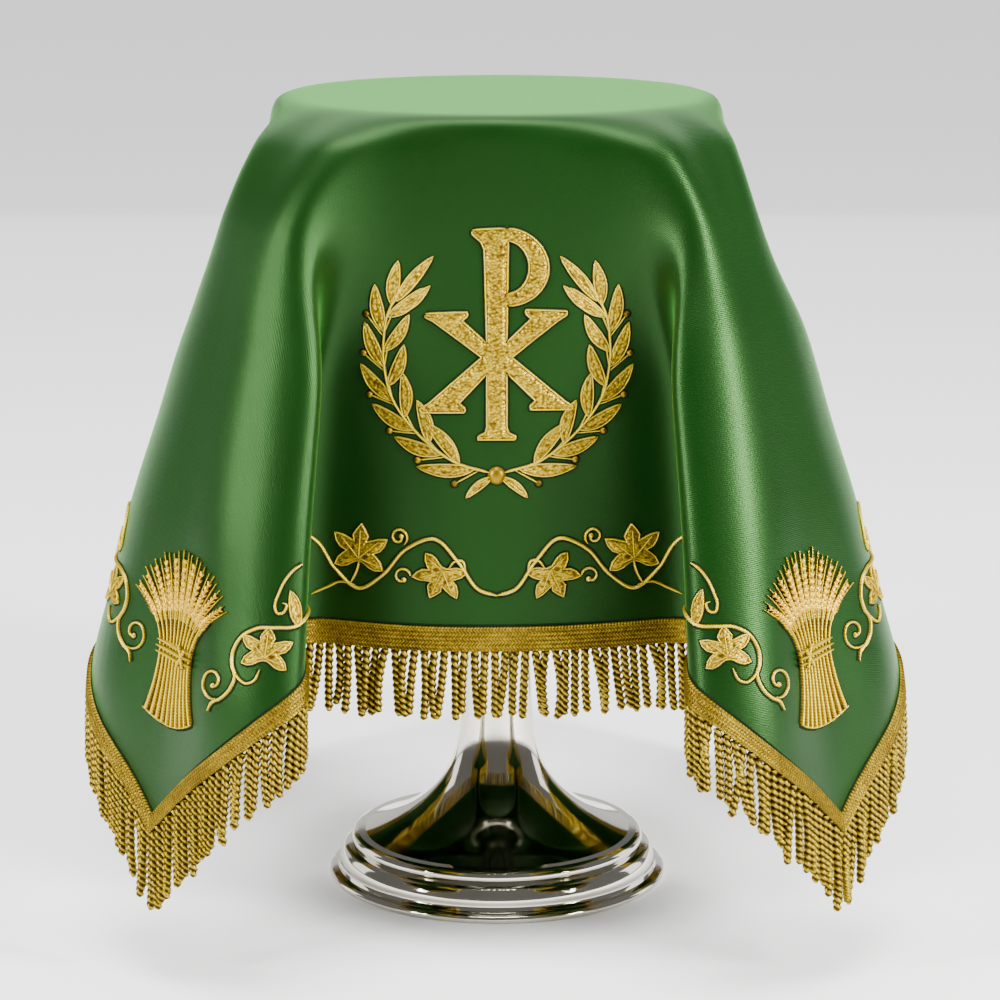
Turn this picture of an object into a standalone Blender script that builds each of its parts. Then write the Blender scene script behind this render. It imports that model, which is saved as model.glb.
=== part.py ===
"""A square chalice veil with a gold braid and a bullion fringe, draped over a covered chalice.

Sizes in the tables are millimetres and meshes are metres. +Z is up, the front of the veil looks to -Y,
and the origin is the middle of the flat ring that the chalice stands on.
"""

import bpy
import bmesh
import numpy as np

MM = 0.001

# The cloth, cut as a square
HALF_SIDE = 240.0
CLOTH_THICK = 1.2
TOP_Z = 265.0
EDGE_RADIUS = 73.0
EDGE_ROUNDING = 6

# The braid that is sewn on the hem, and the fringe below it
BRAID_WIDE = 8.0
BRAID_THICK = 1.2
GAP = 0.3
HEADING_DEEP = 2.6
HEADING_THICK = 2.0
STRANDS_PER_SIDE = 60
STRAND_LONG = 20.5
STRAND_LONG_AT_CORNER = 24.0
STRAND_TIP = 0.55
STRAND_LEAN = 0.28

# The covered chalice under it
PATEN_TOP = TOP_Z - CLOTH_THICK - GAP
PATEN_THICK = 5.0
CUP_TOP = PATEN_TOP - PATEN_THICK - GAP
CUP_BOTTOM = 172.0
KNOP_BOTTOM = 128.0
TURNED_STEPS = 36

# How the cloth hangs, as its horizontal section at each depth below the top. fold: from the round edge (0)
# to the folded form (1). panel: how far out the middle of a side hangs. bow: how far the side curves back
# before its gather. middle: the sideways place of a corner fold's centre. reach: how far out a corner fold
# comes. corner: how far along each side its diagonal lies. valley and tuck: how far the gather between side
# and corner fold goes back, and sideways behind the fold.
SECTION_COLUMNS = ("depth", "fold", "panel", "bow", "middle", "reach", "corner", "valley", "tuck")
SECTIONS = (
    (0.0, 0.00, 73.0, 2.0, 44.0, 76.0, 58.0, 0.0, 1.0),
    (6.0, 0.38, 73.2, 2.0, 46.0, 78.0, 63.0, 0.0, 1.0),
    (14.0, 0.70, 73.6, 2.5, 48.5, 80.5, 67.5, 0.0, 1.0),
    (26.0, 0.92, 74.2, 3.0, 49.5, 84.5, 72.5, 0.5, 2.0),
    (46.0, 1.00, 75.0, 4.0, 50.0, 90.5, 78.0, 2.0, 4.0),
    (70.0, 1.00, 76.0, 5.0, 50.5, 98.5, 83.5, 4.0, 6.0),
    (95.0, 1.00, 77.0, 6.0, 51.5, 106.5, 89.0, 5.5, 8.0),
    (120.0, 1.00, 78.0, 6.5, 52.5, 115.0, 93.5, 7.0, 10.0),
    (150.0, 1.00, 79.2, 7.0, 53.5, 125.0, 96.5, 8.0, 11.0),
    (170.0, 1.00, 80.0, 7.5, 54.0, 131.0, 98.5, 8.5, 11.5),
    (220.0, 1.00, 81.0, 8.0, 54.5, 130.5, 106.0, 9.0, 12.0),
)

# The corner folds, counter-clockwise seen from above: how much further out each one swells, high and low
CORNER_FOLDS = (
    # name, high, low
    ("front_right", -2.3, -1.0),
    ("back_right", 1.4, 1.5),
    ("back_left", -1.2, -1.0),
    ("front_left", 1.9, 1.9),
)
HIGH_SWELL = (0.0, 64.0)
LOW_SWELL = (40.0, 200.0)

# Depth below the top along the cloth's diagonal, for each distance from its middle
DIAGONAL_COLUMNS = ("along", "depth")
DIAGONAL = (
    (73.0, 0.0),
    (92.0, 10.0),
    (113.6, 26.0),
    (137.3, 46.0),
    (164.6, 70.0),
    (192.8, 96.0),
    (220.5, 123.0),
    (253.0, 154.5),
    (275.0, 175.0),
    (293.0, 189.0),
    (310.0, 200.5),
    (325.0, 210.0),
    (339.5, 218.0),
)

# Angles from a side's middle, in degrees: where the cloth leaves the side's level, where it has the
# diagonal's, and where its spare width begins and ends being gathered
LEVEL_TURN = (14.0, 38.0)
GATHER_TURN = (12.0, 22.0)
EIGHTH = 45.0

# The round chalice pieces: radius and height of each turned profile
FOOT_PROFILE = (
    (0.0, 0.0),
    (55.6, 0.0),
    (57.2, 1.0),
    (56.6, 3.0),
    (53.4, 3.8),
    (53.2, 9.0),
    (51.4, 10.8),
    (49.4, 11.4),
    (49.7, 14.0),
    (47.6, 15.4),
    (44.6, 15.8),
    (33.0, 20.8),
    (24.4, 27.0),
    (18.0, 34.5),
    (14.2, 43.0),
    (12.4, 54.0),
    (11.4, 75.0),
    (11.0, 100.0),
    (12.2, 120.0),
    (14.0, KNOP_BOTTOM - GAP),
    (0.0, KNOP_BOTTOM - GAP),
)
KNOP_PROFILE = (
    (0.0, KNOP_BOTTOM),
    (14.0, KNOP_BOTTOM),
    (15.0, KNOP_BOTTOM + 4.0),
    (21.0, KNOP_BOTTOM + 11.0),
    (23.0, KNOP_BOTTOM + 18.0),
    (21.0, KNOP_BOTTOM + 25.0),
    (15.0, KNOP_BOTTOM + 32.0),
    (12.0, CUP_BOTTOM - 6.0),
    (12.0, CUP_BOTTOM - GAP),
    (0.0, CUP_BOTTOM - GAP),
)
CUP_PROFILE = (
    (0.0, CUP_BOTTOM),
    (13.0, CUP_BOTTOM),
    (26.0, CUP_BOTTOM + 6.0),
    (37.0, CUP_BOTTOM + 18.0),
    (43.0, CUP_BOTTOM + 36.0),
    (45.5, CUP_BOTTOM + 58.0),
    (47.0, CUP_TOP),
    (45.4, CUP_TOP),
    (43.9, CUP_BOTTOM + 58.0),
    (41.3, CUP_BOTTOM + 37.0),
    (35.6, CUP_BOTTOM + 20.0),
    (24.8, CUP_BOTTOM + 8.5),
    (12.0, CUP_BOTTOM + 3.0),
    (0.0, CUP_BOTTOM + 2.6),
)
PATEN_PROFILE = (
    (0.0, PATEN_TOP - PATEN_THICK),
    (52.0, PATEN_TOP - PATEN_THICK),
    (66.0, PATEN_TOP - 3.6),
    (68.4, PATEN_TOP - 3.1),
    (68.6, PATEN_TOP - 2.4),
    (66.4, PATEN_TOP - 0.8),
    (63.5, PATEN_TOP),
    (0.0, PATEN_TOP),
)

MATERIALS = {
    "green_satin": ((0.045, 0.19, 0.05), 0.5, 0.0),
    "gold_braid": ((0.60, 0.40, 0.11), 0.45, 0.6),
    "gold_bullion": ((0.50, 0.32, 0.08), 0.5, 0.6),
    "silver": ((0.86, 0.85, 0.82), 0.12, 1.0),
}

SIDES = ("front", "right", "back", "left")

# Flat stations of the veil's mesh: degrees from a side's middle, and the part of the way from the edge
# to the braid along each of those rays
STATION_DEGREES = (0.0, 6.0, 11.0, 14.3, 16.4, 18.8, 21.5, 25.5, 28.8, 30.6, 32.4, 36.2, 40.8)
TOP_RINGS = (40.0, 64.0, 69.0, 73.0, 77.0)
HANGING_RINGS = (0.09, 0.18, 0.29, 0.41, 0.54, 0.67, 0.79, 0.90, 1.0)


def smooth_step(t):
    t = np.clip(t, 0.0, 1.0)
    return t * t * (3.0 - 2.0 * t)


def smooth_curve(xs, ys, x):
    """Values at x of the smooth curve through the points (xs, ys)."""
    xs, ys, x = (np.asarray(a, float) for a in (xs, ys, x))
    steps = np.diff(xs)
    slopes = np.diff(ys) / steps
    inner = (slopes[:-1] * steps[1:] + slopes[1:] * steps[:-1]) / (steps[1:] + steps[:-1])
    tangents = np.concatenate([slopes[:1], inner, slopes[-1:]])
    k = np.clip(np.searchsorted(xs, x, side="right") - 1, 0, len(xs) - 2)
    t = (x - xs[k]) / steps[k]
    rise = 3 * t**2 - 2 * t**3
    return (
        (1 - rise) * ys[k]
        + rise * ys[k + 1]
        + steps[k] * ((t**3 - 2 * t**2 + t) * tangents[k] + (t**3 - t**2) * tangents[k + 1])
    )


def swell_at(depth, high, low):
    """How much further out a corner fold comes at a depth."""
    total = 0.0
    for size, (start, end) in ((high, HIGH_SWELL), (low, LOW_SWELL)):
        total += size * np.sin(np.pi * np.clip((depth - start) / (end - start), 0.0, 1.0))
    return total


def section_column(name, depth):
    rows = np.array(SECTIONS)
    return smooth_curve(rows[:, 0], rows[:, SECTION_COLUMNS.index(name)], depth)


def eighth_of_section(depth, swell):
    """Control points from a side's middle to a corner fold's diagonal, as (sideways, outwards)."""
    row = {name: float(section_column(name, depth)) for name in SECTION_COLUMNS}
    panel, bow, middle, tuck = row["panel"], row["bow"], row["middle"], row["tuck"]
    reach = row["reach"] + swell
    corner = row["corner"] + 0.8 * swell
    wide = reach - middle
    gather = panel - bow - row["valley"] - 1.0
    folded = (
        (0.0, panel),
        (0.42 * middle, panel - 0.15 * bow),
        (0.80 * middle, panel - 0.9 * bow),
        (middle + tuck, gather),
        (middle + tuck, 0.5 * (gather + 1.0 + reach) + 2.0),
        (middle - 3.0, reach + 1.5),
        (middle + 0.42 * wide - 1.0, reach - 0.10 * wide + 1.0),
        (corner + 0.3, corner + 0.3),
    )
    turns = np.linspace(0.0, np.pi / 4, len(folded))
    circle = EDGE_RADIUS * 6 / (4 + 2 * np.cos(turns[1])) * np.stack([np.sin(turns), np.cos(turns)], 1)
    return (1 - row["fold"]) * circle + row["fold"] * np.array(folded)


def section_spline(depth, per_span=12):
    """The closed section curve at a depth, from the front side's middle, counter-clockwise from above."""
    control = []
    for quarter, (_, high, low) in enumerate(CORNER_FOLDS):
        eighth = eighth_of_section(depth, swell_at(depth, high, low))
        to_corner = eighth * (1, -1)
        to_side = (eighth[::-1] * (1, -1))[:, ::-1] * (-1, -1)
        points = np.concatenate([to_corner, to_side[1:-1]])
        c, s = np.cos(quarter * np.pi / 2), np.sin(quarter * np.pi / 2)
        control.append(points @ np.array([[c, s], [-s, c]]))
    control = np.concatenate(control)
    t = np.arange(per_span)[:, None] / per_span
    weights = np.hstack([(1 - t) ** 3, 3 * t**3 - 6 * t**2 + 4, -3 * t**3 + 3 * t**2 + 3 * t + 1, t**3]) / 6
    spans = [weights @ np.roll(control, 1 - k, axis=0)[:4] for k in range(len(control))]
    return np.concatenate(spans)


def section_tables(depths, fractions):
    """For each eighth of the round and each depth: points at even parts of its length, and the length."""
    points = np.empty((8, len(depths), len(fractions), 2))
    lengths = np.empty((8, len(depths)))
    for i, depth in enumerate(depths):
        spline = section_spline(depth)
        spline = np.concatenate([spline, spline[:1]])
        per_eighth = (len(spline) - 1) // 8
        for eighth in range(8):
            part = spline[eighth * per_eighth : (eighth + 1) * per_eighth + 1]
            if eighth % 2:
                part = part[::-1]
            along = np.concatenate([[0.0], np.cumsum(np.hypot(*np.diff(part, axis=0).T))])
            lengths[eighth, i] = along[-1]
            for axis in (0, 1):
                points[eighth, i, :, axis] = np.interp(fractions * along[-1], along, part[:, axis])
    return points, lengths


def depth_below_top(turn, distance):
    """Depth of the cloth at a flat distance from its middle, and a turn from the nearest side's middle."""
    cosine = np.cos(turn)
    eased = 1 - smooth_step((distance - EDGE_RADIUS) / 150.0)
    side = distance * cosine - EDGE_RADIUS + EDGE_RADIUS * (1 - cosine) * eased
    rows = np.array(DIAGONAL)
    diagonal = smooth_curve(rows[:, 0], rows[:, 1], distance)
    start, end = LEVEL_TURN
    return side + smooth_step((np.degrees(turn) - start) / (end - start)) * (diagonal - side)


def gathered_share(turn, depth, length):
    """What part of its eighth of the section the cloth has passed at a turn from the side's middle."""
    fine = np.radians(np.linspace(0.0, EIGHTH, 901))
    start, end = GATHER_TURN
    gathered = smooth_step((np.degrees(fine) - start) / (end - start))
    plain = (1 - gathered) / np.cos(fine) ** 2
    plain_sum = np.concatenate([[0.0], np.cumsum(plain[1:] + plain[:-1])]) * fine[1] / 2
    gathered_sum = np.concatenate([[0.0], np.cumsum(gathered[1:] + gathered[:-1])]) * fine[1] / 2
    side = EDGE_RADIUS + depth
    density = (length - side * plain_sum[-1]) / gathered_sum[-1]
    share = (side * np.interp(turn, fine, plain_sum) + density * np.interp(turn, fine, gathered_sum)) / length
    fold = section_column("fold", depth)
    return np.clip((1 - fold) * turn / (np.pi / 4) + fold * share, 0.0, 1.0)


class Drape:
    """The draped cloth's outer face, as points on a grid of flat angles and flat distances."""

    ANGLES = 1440
    FARTHEST = 344

    def __init__(self):
        depths = np.arange(0.0, 222.0)
        fractions = np.linspace(0.0, 1.0, 121)
        sections, lengths = section_tables(depths, fractions)
        angles = np.arange(self.ANGLES) * 2 * np.pi / self.ANGLES
        angle, distance = np.meshgrid(angles, np.arange(self.FARTHEST + 1.0), indexing="ij")
        eighth = np.minimum((angle / (np.pi / 4)).astype(int), 7)
        turn = angle - eighth * np.pi / 4
        turn = np.where(eighth % 2 == 1, np.pi / 4 - turn, turn)
        depth = depth_below_top(turn, np.maximum(distance, EDGE_RADIUS)).clip(0.0, depths[-1] - 0.01)
        level = depth.astype(int)
        down = depth - level
        length = lengths[eighth, level] * (1 - down) + lengths[eighth, level + 1] * down
        share = gathered_share(turn, depth, length) * (len(fractions) - 1)
        step = np.minimum(share.astype(int), len(fractions) - 2)
        part = (share - step)[..., None]
        down = down[..., None]
        upper = sections[eighth, level, step] * (1 - part) + sections[eighth, level, step + 1] * part
        lower = sections[eighth, level + 1, step] * (1 - part) + sections[eighth, level + 1, step + 1] * part
        flat = np.stack([distance * np.sin(angle), -distance * np.cos(angle)], -1)
        hanging = (distance > EDGE_RADIUS)[..., None]
        plan = np.where(hanging, upper * (1 - down) + lower * down, flat)
        grid = np.concatenate([plan, TOP_Z - np.where(hanging, depth[..., None], 0.0)], -1)
        self.grid = self.rounded(grid)
        self.normals = self.outward(self.grid)

    def rounded(self, grid):
        """The grid with the crease at the edge rounded, by averaging along each ray."""
        reach = EDGE_ROUNDING
        weights = reach - np.abs(np.arange(-reach + 1, reach))
        padded = np.concatenate([np.repeat(grid[:, :1], reach, 1), grid, np.repeat(grid[:, -1:], reach, 1)], 1)
        last = grid.shape[1]
        total = sum(w * padded[:, 1 + k : 1 + k + last] for k, w in enumerate(weights)) / weights.sum()
        result = grid.copy()
        near = slice(2 * reach, last - reach)
        result[:, near] = total[:, near]
        return result

    def outward(self, grid):
        round_way = np.roll(grid, -1, axis=0) - np.roll(grid, 1, axis=0)
        down_way = np.gradient(grid, axis=1)
        normal = np.cross(down_way, round_way)
        size = np.linalg.norm(normal, axis=-1, keepdims=True)
        return np.where(size > 1e-9, normal / np.maximum(size, 1e-9), (0.0, 0.0, 1.0))

    def look_up(self, values, u, v):
        turns = np.arctan2(u, -np.asarray(v, float)) / (2 * np.pi) % 1.0 * self.ANGLES
        distance = np.minimum(np.hypot(u, v), self.FARTHEST - 0.01)
        i, j = turns.astype(int), distance.astype(int)
        a, b = (turns - i)[..., None], (distance - j)[..., None]
        i, after = i % self.ANGLES, (i + 1) % self.ANGLES
        return (values[i, j] * (1 - a) + values[after, j] * a) * (1 - b) + (
            values[i, j + 1] * (1 - a) + values[after, j + 1] * a
        ) * b

    def place(self, u, v, off=0.0):
        """Where the flat points (u, v) hang, off this far from the cloth's outer face, in millimetres."""
        points = self.look_up(self.grid, u, v)
        normals = self.look_up(self.normals, u, v)
        normals /= np.linalg.norm(normals, axis=-1, keepdims=True)
        return points + normals * off


def make_material(name):
    colour, roughness, metallic = MATERIALS[name]
    material = bpy.data.materials.new(name)
    material.use_nodes = True
    shader = material.node_tree.nodes["Principled BSDF"]
    shader.inputs["Base Color"].default_value = (*colour, 1.0)
    shader.inputs["Roughness"].default_value = roughness
    shader.inputs["Metallic"].default_value = metallic
    material.diffuse_color = (*colour, 1.0)
    return material


def make_object(name, points, faces, material, smooth=False):
    """An object from points in millimetres, its faces turned outwards."""
    mesh = bpy.data.meshes.new(name)
    mesh.from_pydata((np.asarray(points) * MM).tolist(), [], faces)
    work = bmesh.new()
    work.from_mesh(mesh)
    bmesh.ops.recalc_face_normals(work, faces=work.faces)
    work.to_mesh(mesh)
    work.free()
    if smooth:
        mesh.shade_smooth()
        mesh.set_sharp_from_angle(angle=np.radians(40.0))
    obj = bpy.data.objects.new(name, mesh)
    obj.data.materials.append(material)
    bpy.context.scene.collection.objects.link(obj)
    return obj


def stations_round():
    """The mesh's angles right round the cloth, in radians, each corner's diagonal among them."""
    eighth = np.array((*STATION_DEGREES, EIGHTH))
    quarter = np.concatenate([eighth[:-1], 2 * EIGHTH - eighth[:0:-1]])
    return np.radians(np.concatenate([quarter + 2 * EIGHTH * k for k in range(4)]))


def flat_ray(angle, side_distance):
    """The flat point on a ray at which the cloth's side is this far from the middle."""
    turn = (angle + np.pi / 4) % (np.pi / 2) - np.pi / 4
    distance = side_distance / np.cos(turn)
    return distance * np.sin(angle), -distance * np.cos(angle)


def split_quad(quad, cloth):
    """Two triangles of a quad, parted along the shorter diagonal of the cloth's own quad there."""
    a, b, c, d = quad
    if np.linalg.norm(cloth[0] - cloth[2]) < np.linalg.norm(cloth[1] - cloth[3]):
        return [(a, b, c), (a, c, d)]
    return [(a, b, d), (b, c, d)]


def make_veil(drape, material):
    """The cloth: rings of points from its middle to the hem, thickened inwards."""
    angles = stations_round()
    rings = [(r * np.sin(angles), -r * np.cos(angles)) for r in TOP_RINGS]
    braid_u, braid_v = flat_ray(angles, HALF_SIDE - BRAID_WIDE)
    start_u, start_v = rings[-1]
    for part in HANGING_RINGS:
        rings.append((start_u + part * (braid_u - start_u), start_v + part * (braid_v - start_v)))
    rings.append(flat_ray(angles, HALF_SIDE))
    outer = np.concatenate([[(0.0, 0.0, TOP_Z)], *[drape.place(u, v) for u, v in rings]])
    inner = np.concatenate(
        [[(0.0, 0.0, TOP_Z - CLOTH_THICK)], *[drape.place(u, v, -CLOTH_THICK) for u, v in rings]]
    )
    count, last = len(angles), len(outer)
    sheet = []
    for k in range(count):
        after = (k + 1) % count
        sheet.append((0, 1 + k, 1 + after))
        for ring in range(len(rings) - 1):
            a, b = 1 + ring * count + k, 1 + ring * count + after
            quad = (a, a + count, b + count, b)
            sheet += split_quad(quad, outer[list(quad)])
    faces = sheet + [tuple(last + i for i in face[::-1]) for face in sheet]
    hem = last - count
    for k in range(count):
        after = (k + 1) % count
        faces.append((hem + k, last + hem + k, last + hem + after, hem + after))
    return make_object("veil", np.concatenate([outer, inner]), faces, material)


def side_angles(side):
    """The stations from one corner of the cloth to the next, across one side."""
    angles = stations_round()
    middle = SIDES.index(side) * np.pi / 2
    turns = (angles - middle + np.pi) % (2 * np.pi) - np.pi
    turns = np.sort(turns[np.abs(turns) < np.pi / 4 + 1e-6])
    return middle + turns


def make_braid(drape, side, material):
    """A flat braid along one side's hem, mitred at the corners."""
    angles = side_angles(side)
    mitre = GAP / np.hypot(HALF_SIDE, HALF_SIDE)
    angles[0] += mitre
    angles[-1] -= mitre
    edges = [flat_ray(angles, HALF_SIDE - BRAID_WIDE), flat_ray(angles, HALF_SIDE)]
    cloth = [drape.place(u, v) for u, v in edges]
    inner = [drape.place(u, v, GAP) for u, v in edges]
    outer = [drape.place(u, v, GAP + BRAID_THICK) for u, v in edges]
    points = np.stack([*inner, *outer[::-1]], 1)
    faces = [(0, 1, 2, 3), tuple(4 * (len(angles) - 1) + i for i in (3, 2, 1, 0))]
    for k in range(len(angles) - 1):
        here, after = 4 * k, 4 * (k + 1)
        like = (cloth[0][k], cloth[1][k], cloth[1][k + 1], cloth[0][k + 1])
        faces += split_quad((here, here + 1, after + 1, after), like)
        faces += split_quad((here + 3, here + 2, after + 2, after + 3), like)
        faces.append((here + 1, here + 2, after + 2, after + 1))
        faces.append((here + 3, here, after, after + 3))
    return make_object(f"braid_{side}", points.reshape(-1, 3), faces, material)


def hem_frames(drape, side):
    """Points along one side's hem, with the ways down the cloth and out of it, evenly spaced for strands."""
    angles = side_angles(side)
    u, v = flat_ray(angles, HALF_SIDE)
    above_u, above_v = flat_ray(angles, HALF_SIDE - BRAID_WIDE)
    hem = drape.place(u, v)
    down = hem - drape.place(above_u, above_v)
    out = drape.place(u, v, 1.0) - hem
    along = np.concatenate([[0.0], np.cumsum(np.linalg.norm(np.diff(hem, axis=0), axis=1))])
    marks = np.linspace(GAP, along[-1] - GAP, STRANDS_PER_SIDE + 1)

    def spaced(values):
        return np.stack([np.interp(marks, along, values[:, axis]) for axis in range(3)], 1)

    def unit(values):
        return values / np.linalg.norm(values, axis=1, keepdims=True)

    return spaced(hem), unit(spaced(down)), unit(spaced(out)), 2 * marks / along[-1] - 1


def make_fringe(drape, side, material):
    """A narrow heading along the hem, with a row of tapered strands fused to its underside."""
    hem, down, out, across = hem_frames(drape, side)
    inside = hem - out * (CLOTH_THICK + HEADING_THICK) / 2
    outside = inside + out * HEADING_THICK
    top, bottom = down * 1.5 * GAP, down * (1.5 * GAP + HEADING_DEEP)
    heading = np.stack([outside + top, inside + top, inside + bottom, outside + bottom], 1)
    points = list(heading.reshape(-1, 3))
    faces = [(0, 1, 2, 3), tuple(4 * STRANDS_PER_SIDE + i for i in (3, 2, 1, 0))]
    for k in range(STRANDS_PER_SIDE):
        here, after = 4 * k, 4 * (k + 1)
        faces += [
            (here + 3, after + 3, after, here),
            (here, after, after + 1, here + 1),
            (here + 1, after + 1, after + 2, here + 2),
        ]
        root = (here + 3, here + 2, after + 2, after + 3)
        corner = abs(across[k] + across[k + 1]) / 2
        long = STRAND_LONG + (STRAND_LONG_AT_CORNER - STRAND_LONG) * smooth_step((corner - 0.6) / 0.4)
        long *= 1 + 0.05 * np.sin(2.4 * k)
        way = STRAND_LEAN * (down[k] + down[k + 1]) / 2 + (1 - STRAND_LEAN) * np.array([0.0, 0.0, -1.0])
        ends = np.array([points[i] for i in root])
        centre = ends.mean(axis=0)
        tip = centre + (ends - centre) * STRAND_TIP + way / np.linalg.norm(way) * long
        first = len(points)
        points += list(tip)
        for i in range(4):
            after_i = (i + 1) % 4
            faces.append((root[i], root[after_i], first + after_i, first + i))
        faces.append(tuple(first + i for i in range(4)))
    return make_object(f"fringe_{side}", points, faces, material)


def make_turned(name, profile, material):
    """A round piece: its profile turned about the upright axis."""
    turns = np.arange(TURNED_STEPS) * 2 * np.pi / TURNED_STEPS
    points, rings = [], []
    for radius, height in profile:
        first = len(points)
        if radius == 0.0:
            points.append((0.0, 0.0, height))
            rings.append([first] * TURNED_STEPS)
        else:
            points += [(radius * np.cos(t), radius * np.sin(t), height) for t in turns]
            rings.append(list(range(first, first + TURNED_STEPS)))
    faces = []
    for lower, upper in zip(rings, rings[1:]):
        for k in range(TURNED_STEPS):
            after = (k + 1) % TURNED_STEPS
            face = (lower[k], lower[after], upper[after], upper[k])
            faces.append(tuple(dict.fromkeys(face)))
    return make_object(name, points, faces, material, smooth=True)


def main():
    for obj in list(bpy.data.objects):
        bpy.data.objects.remove(obj, do_unlink=True)
    material = {name: make_material(name) for name in MATERIALS}
    drape = Drape()
    make_veil(drape, material["green_satin"])
    for side in SIDES:
        make_braid(drape, side, material["gold_braid"])
        make_fringe(drape, side, material["gold_bullion"])
    make_turned("chalice_foot", FOOT_PROFILE, material["silver"])
    make_turned("chalice_knop", KNOP_PROFILE, material["silver"])
    make_turned("chalice_cup", CUP_PROFILE, material["silver"])
    make_turned("paten", PATEN_PROFILE, material["silver"])


main()
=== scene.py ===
"""A green silk chalice veil with gold embroidery, braid and bullion fringe, over a silver chalice.

Sizes in the tables are millimetres and meshes are metres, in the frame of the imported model.
Flat points (u, v) lie on the cloth before it is draped: u to the right and v to the back of its middle.
A line is a flat distance from the cloth's middle towards a side, and the hem is the last line.
"""

import bpy
import numpy as np
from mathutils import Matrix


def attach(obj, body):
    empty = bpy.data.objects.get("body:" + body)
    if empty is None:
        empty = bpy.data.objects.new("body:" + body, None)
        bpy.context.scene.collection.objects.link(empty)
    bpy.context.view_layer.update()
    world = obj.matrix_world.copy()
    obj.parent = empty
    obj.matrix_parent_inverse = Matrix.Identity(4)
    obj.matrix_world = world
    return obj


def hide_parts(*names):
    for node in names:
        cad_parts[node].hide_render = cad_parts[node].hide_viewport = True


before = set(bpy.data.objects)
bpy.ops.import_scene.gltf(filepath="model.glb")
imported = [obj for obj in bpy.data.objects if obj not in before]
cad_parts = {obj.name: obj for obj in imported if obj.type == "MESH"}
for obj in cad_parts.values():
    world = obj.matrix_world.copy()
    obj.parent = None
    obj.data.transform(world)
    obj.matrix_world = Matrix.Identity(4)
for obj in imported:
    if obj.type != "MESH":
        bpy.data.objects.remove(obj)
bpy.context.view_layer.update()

MM = 0.001
SIDES = ("front", "right", "back", "left")
EIGHTH = 45.0

# Camera, as the photograph was taken
CAMERA_PLACE = (1.0, -1113.0, 372.0)
CAMERA_PITCH = 12.3
CAMERA_LENS = 122.6

# The cloth and its trim, as they were cut and sewn
HALF_SIDE = 240.0
CLOTH_THICK = 1.2
TOP_Z = 265.0
EDGE_RADIUS = 73.0
EDGE_ROUNDING = 9
BRAID_WIDE = 8.0
BRAID_THICK = 1.2
BRAID_ROWS = 6
GAP = 0.3

# Horizontal sections of the hanging cloth: those of its solid, with softer shoulders to the folds
SECTION_COLUMNS = ("depth", "fold", "panel", "bow", "middle", "reach", "corner", "valley", "tuck")
SECTIONS = (
    (0.0, 0.00, 73.0, 2.0, 44.0, 76.0, 58.0, 0.0, 1.0),
    (6.0, 0.50, 74.2, 1.5, 42.0, 82.0, 64.5, 0.0, 1.0),
    (14.0, 0.74, 74.6, 2.0, 44.0, 82.5, 68.5, 0.0, 1.0),
    (26.0, 0.92, 74.9, 3.0, 47.0, 83.5, 72.5, 0.5, 2.0),
    (46.0, 1.00, 75.2, 4.0, 49.5, 88.5, 77.5, 2.0, 4.0),
    (70.0, 1.00, 76.0, 5.0, 50.5, 98.5, 83.5, 4.0, 6.0),
    (95.0, 1.00, 77.0, 6.0, 51.5, 106.5, 89.0, 5.5, 8.0),
    (120.0, 1.00, 78.0, 6.5, 52.5, 115.0, 93.5, 7.0, 10.0),
    (150.0, 1.00, 79.2, 7.0, 53.5, 123.2, 96.0, 8.0, 11.0),
    (170.0, 1.00, 80.0, 7.5, 54.0, 129.0, 98.0, 8.5, 11.5),
    (220.0, 1.00, 81.0, 8.0, 54.5, 130.5, 106.0, 9.0, 12.0),
)
CORNER_FOLDS = (
    # name, high, low
    ("front_right", -2.3, -1.0),
    ("back_right", 1.4, 1.5),
    ("back_left", -1.2, -1.0),
    ("front_left", 1.9, 1.0),
)
# From one depth to another, how each fold swells by its high and its low number
HIGH_SWELL = (0.0, 64.0)
LOW_SWELL = (40.0, 200.0)
# From one depth to another, the shoulders turn from soft ones into tucked folds
SHOULDER = (24.0, 84.0)
DIAGONAL = (
    # along, depth
    (73.0, 0.0), (91.5, 10.0), (113.0, 26.0), (137.3, 46.0), (164.6, 70.0), (192.8, 96.0),
    (220.5, 123.0), (253.0, 154.5), (275.0, 175.0), (293.0, 189.0), (310.0, 200.5), (325.0, 210.0),
    (339.5, 218.0),
)
# Turns from a side's middle (degrees) over which the cloth leaves the side's level and starts to gather
LEVEL_TURN = (14.0, 38.0)
GATHER_TURN = (12.0, 22.0)
# How far past the edge the cloth's way down is eased, and the points on each span of a section
EASED_REACH = 150.0
SPAN_STEPS = 12
CREASES = (
    # turn from the front's middle, wide (degrees), start and end (from the cloth's middle), size
    (8.0, 4.0, 140.0, 300.0, -0.9),
    (-6.0, 5.0, 150.0, 300.0, 0.8),
)
CREASE_FADE = 40.0
# The cloth mesh's rings by its edge, then from which one on how many go evenly out to the hem
TOP_RINGS = (0.5, 20.0, 40.0, 55.0, *range(62, 84, 2))
FIRST_RING = 84.0
RINGS = 75
HEM_BULGE = 1.0008
CLOTH_TURNS = (
    # turn from a side's middle (degrees), steps to the next one
    (0.0, 6), (8.0, 6), (14.0, 6), (18.0, 6), (22.0, 6), (28.0, 5), (31.0, 5), (34.0, 5),
    (40.0, 4), (45.0, 0),
)

# The fringe's strands
STRAND_PITCH = 3.15
STRAND_RADIUS = 1.25
STRAND_LONG = 20.5
STRAND_LONG_AT_CORNER = 24.5
STRAND_TWIST = 1.55
STRAND_LEAN = 0.28
STRAND_ROWS = 38
STRAND_RING = 8
STRAND_PLY_DEPTH = 0.26
# How far a strand first runs on along the cloth, and every other one lies further out
STRAND_START = 1.2
STRAND_STAGGER = 0.35
# Where its tip starts to round off, and over what part of its length
STRAND_TIP = (0.93, 0.075)
# Unevenness of the strands' lengths, ways and curls
STRAND_UNEVEN = (0.035, 0.055, 0.6)
FRINGE_SEED = 40
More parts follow.
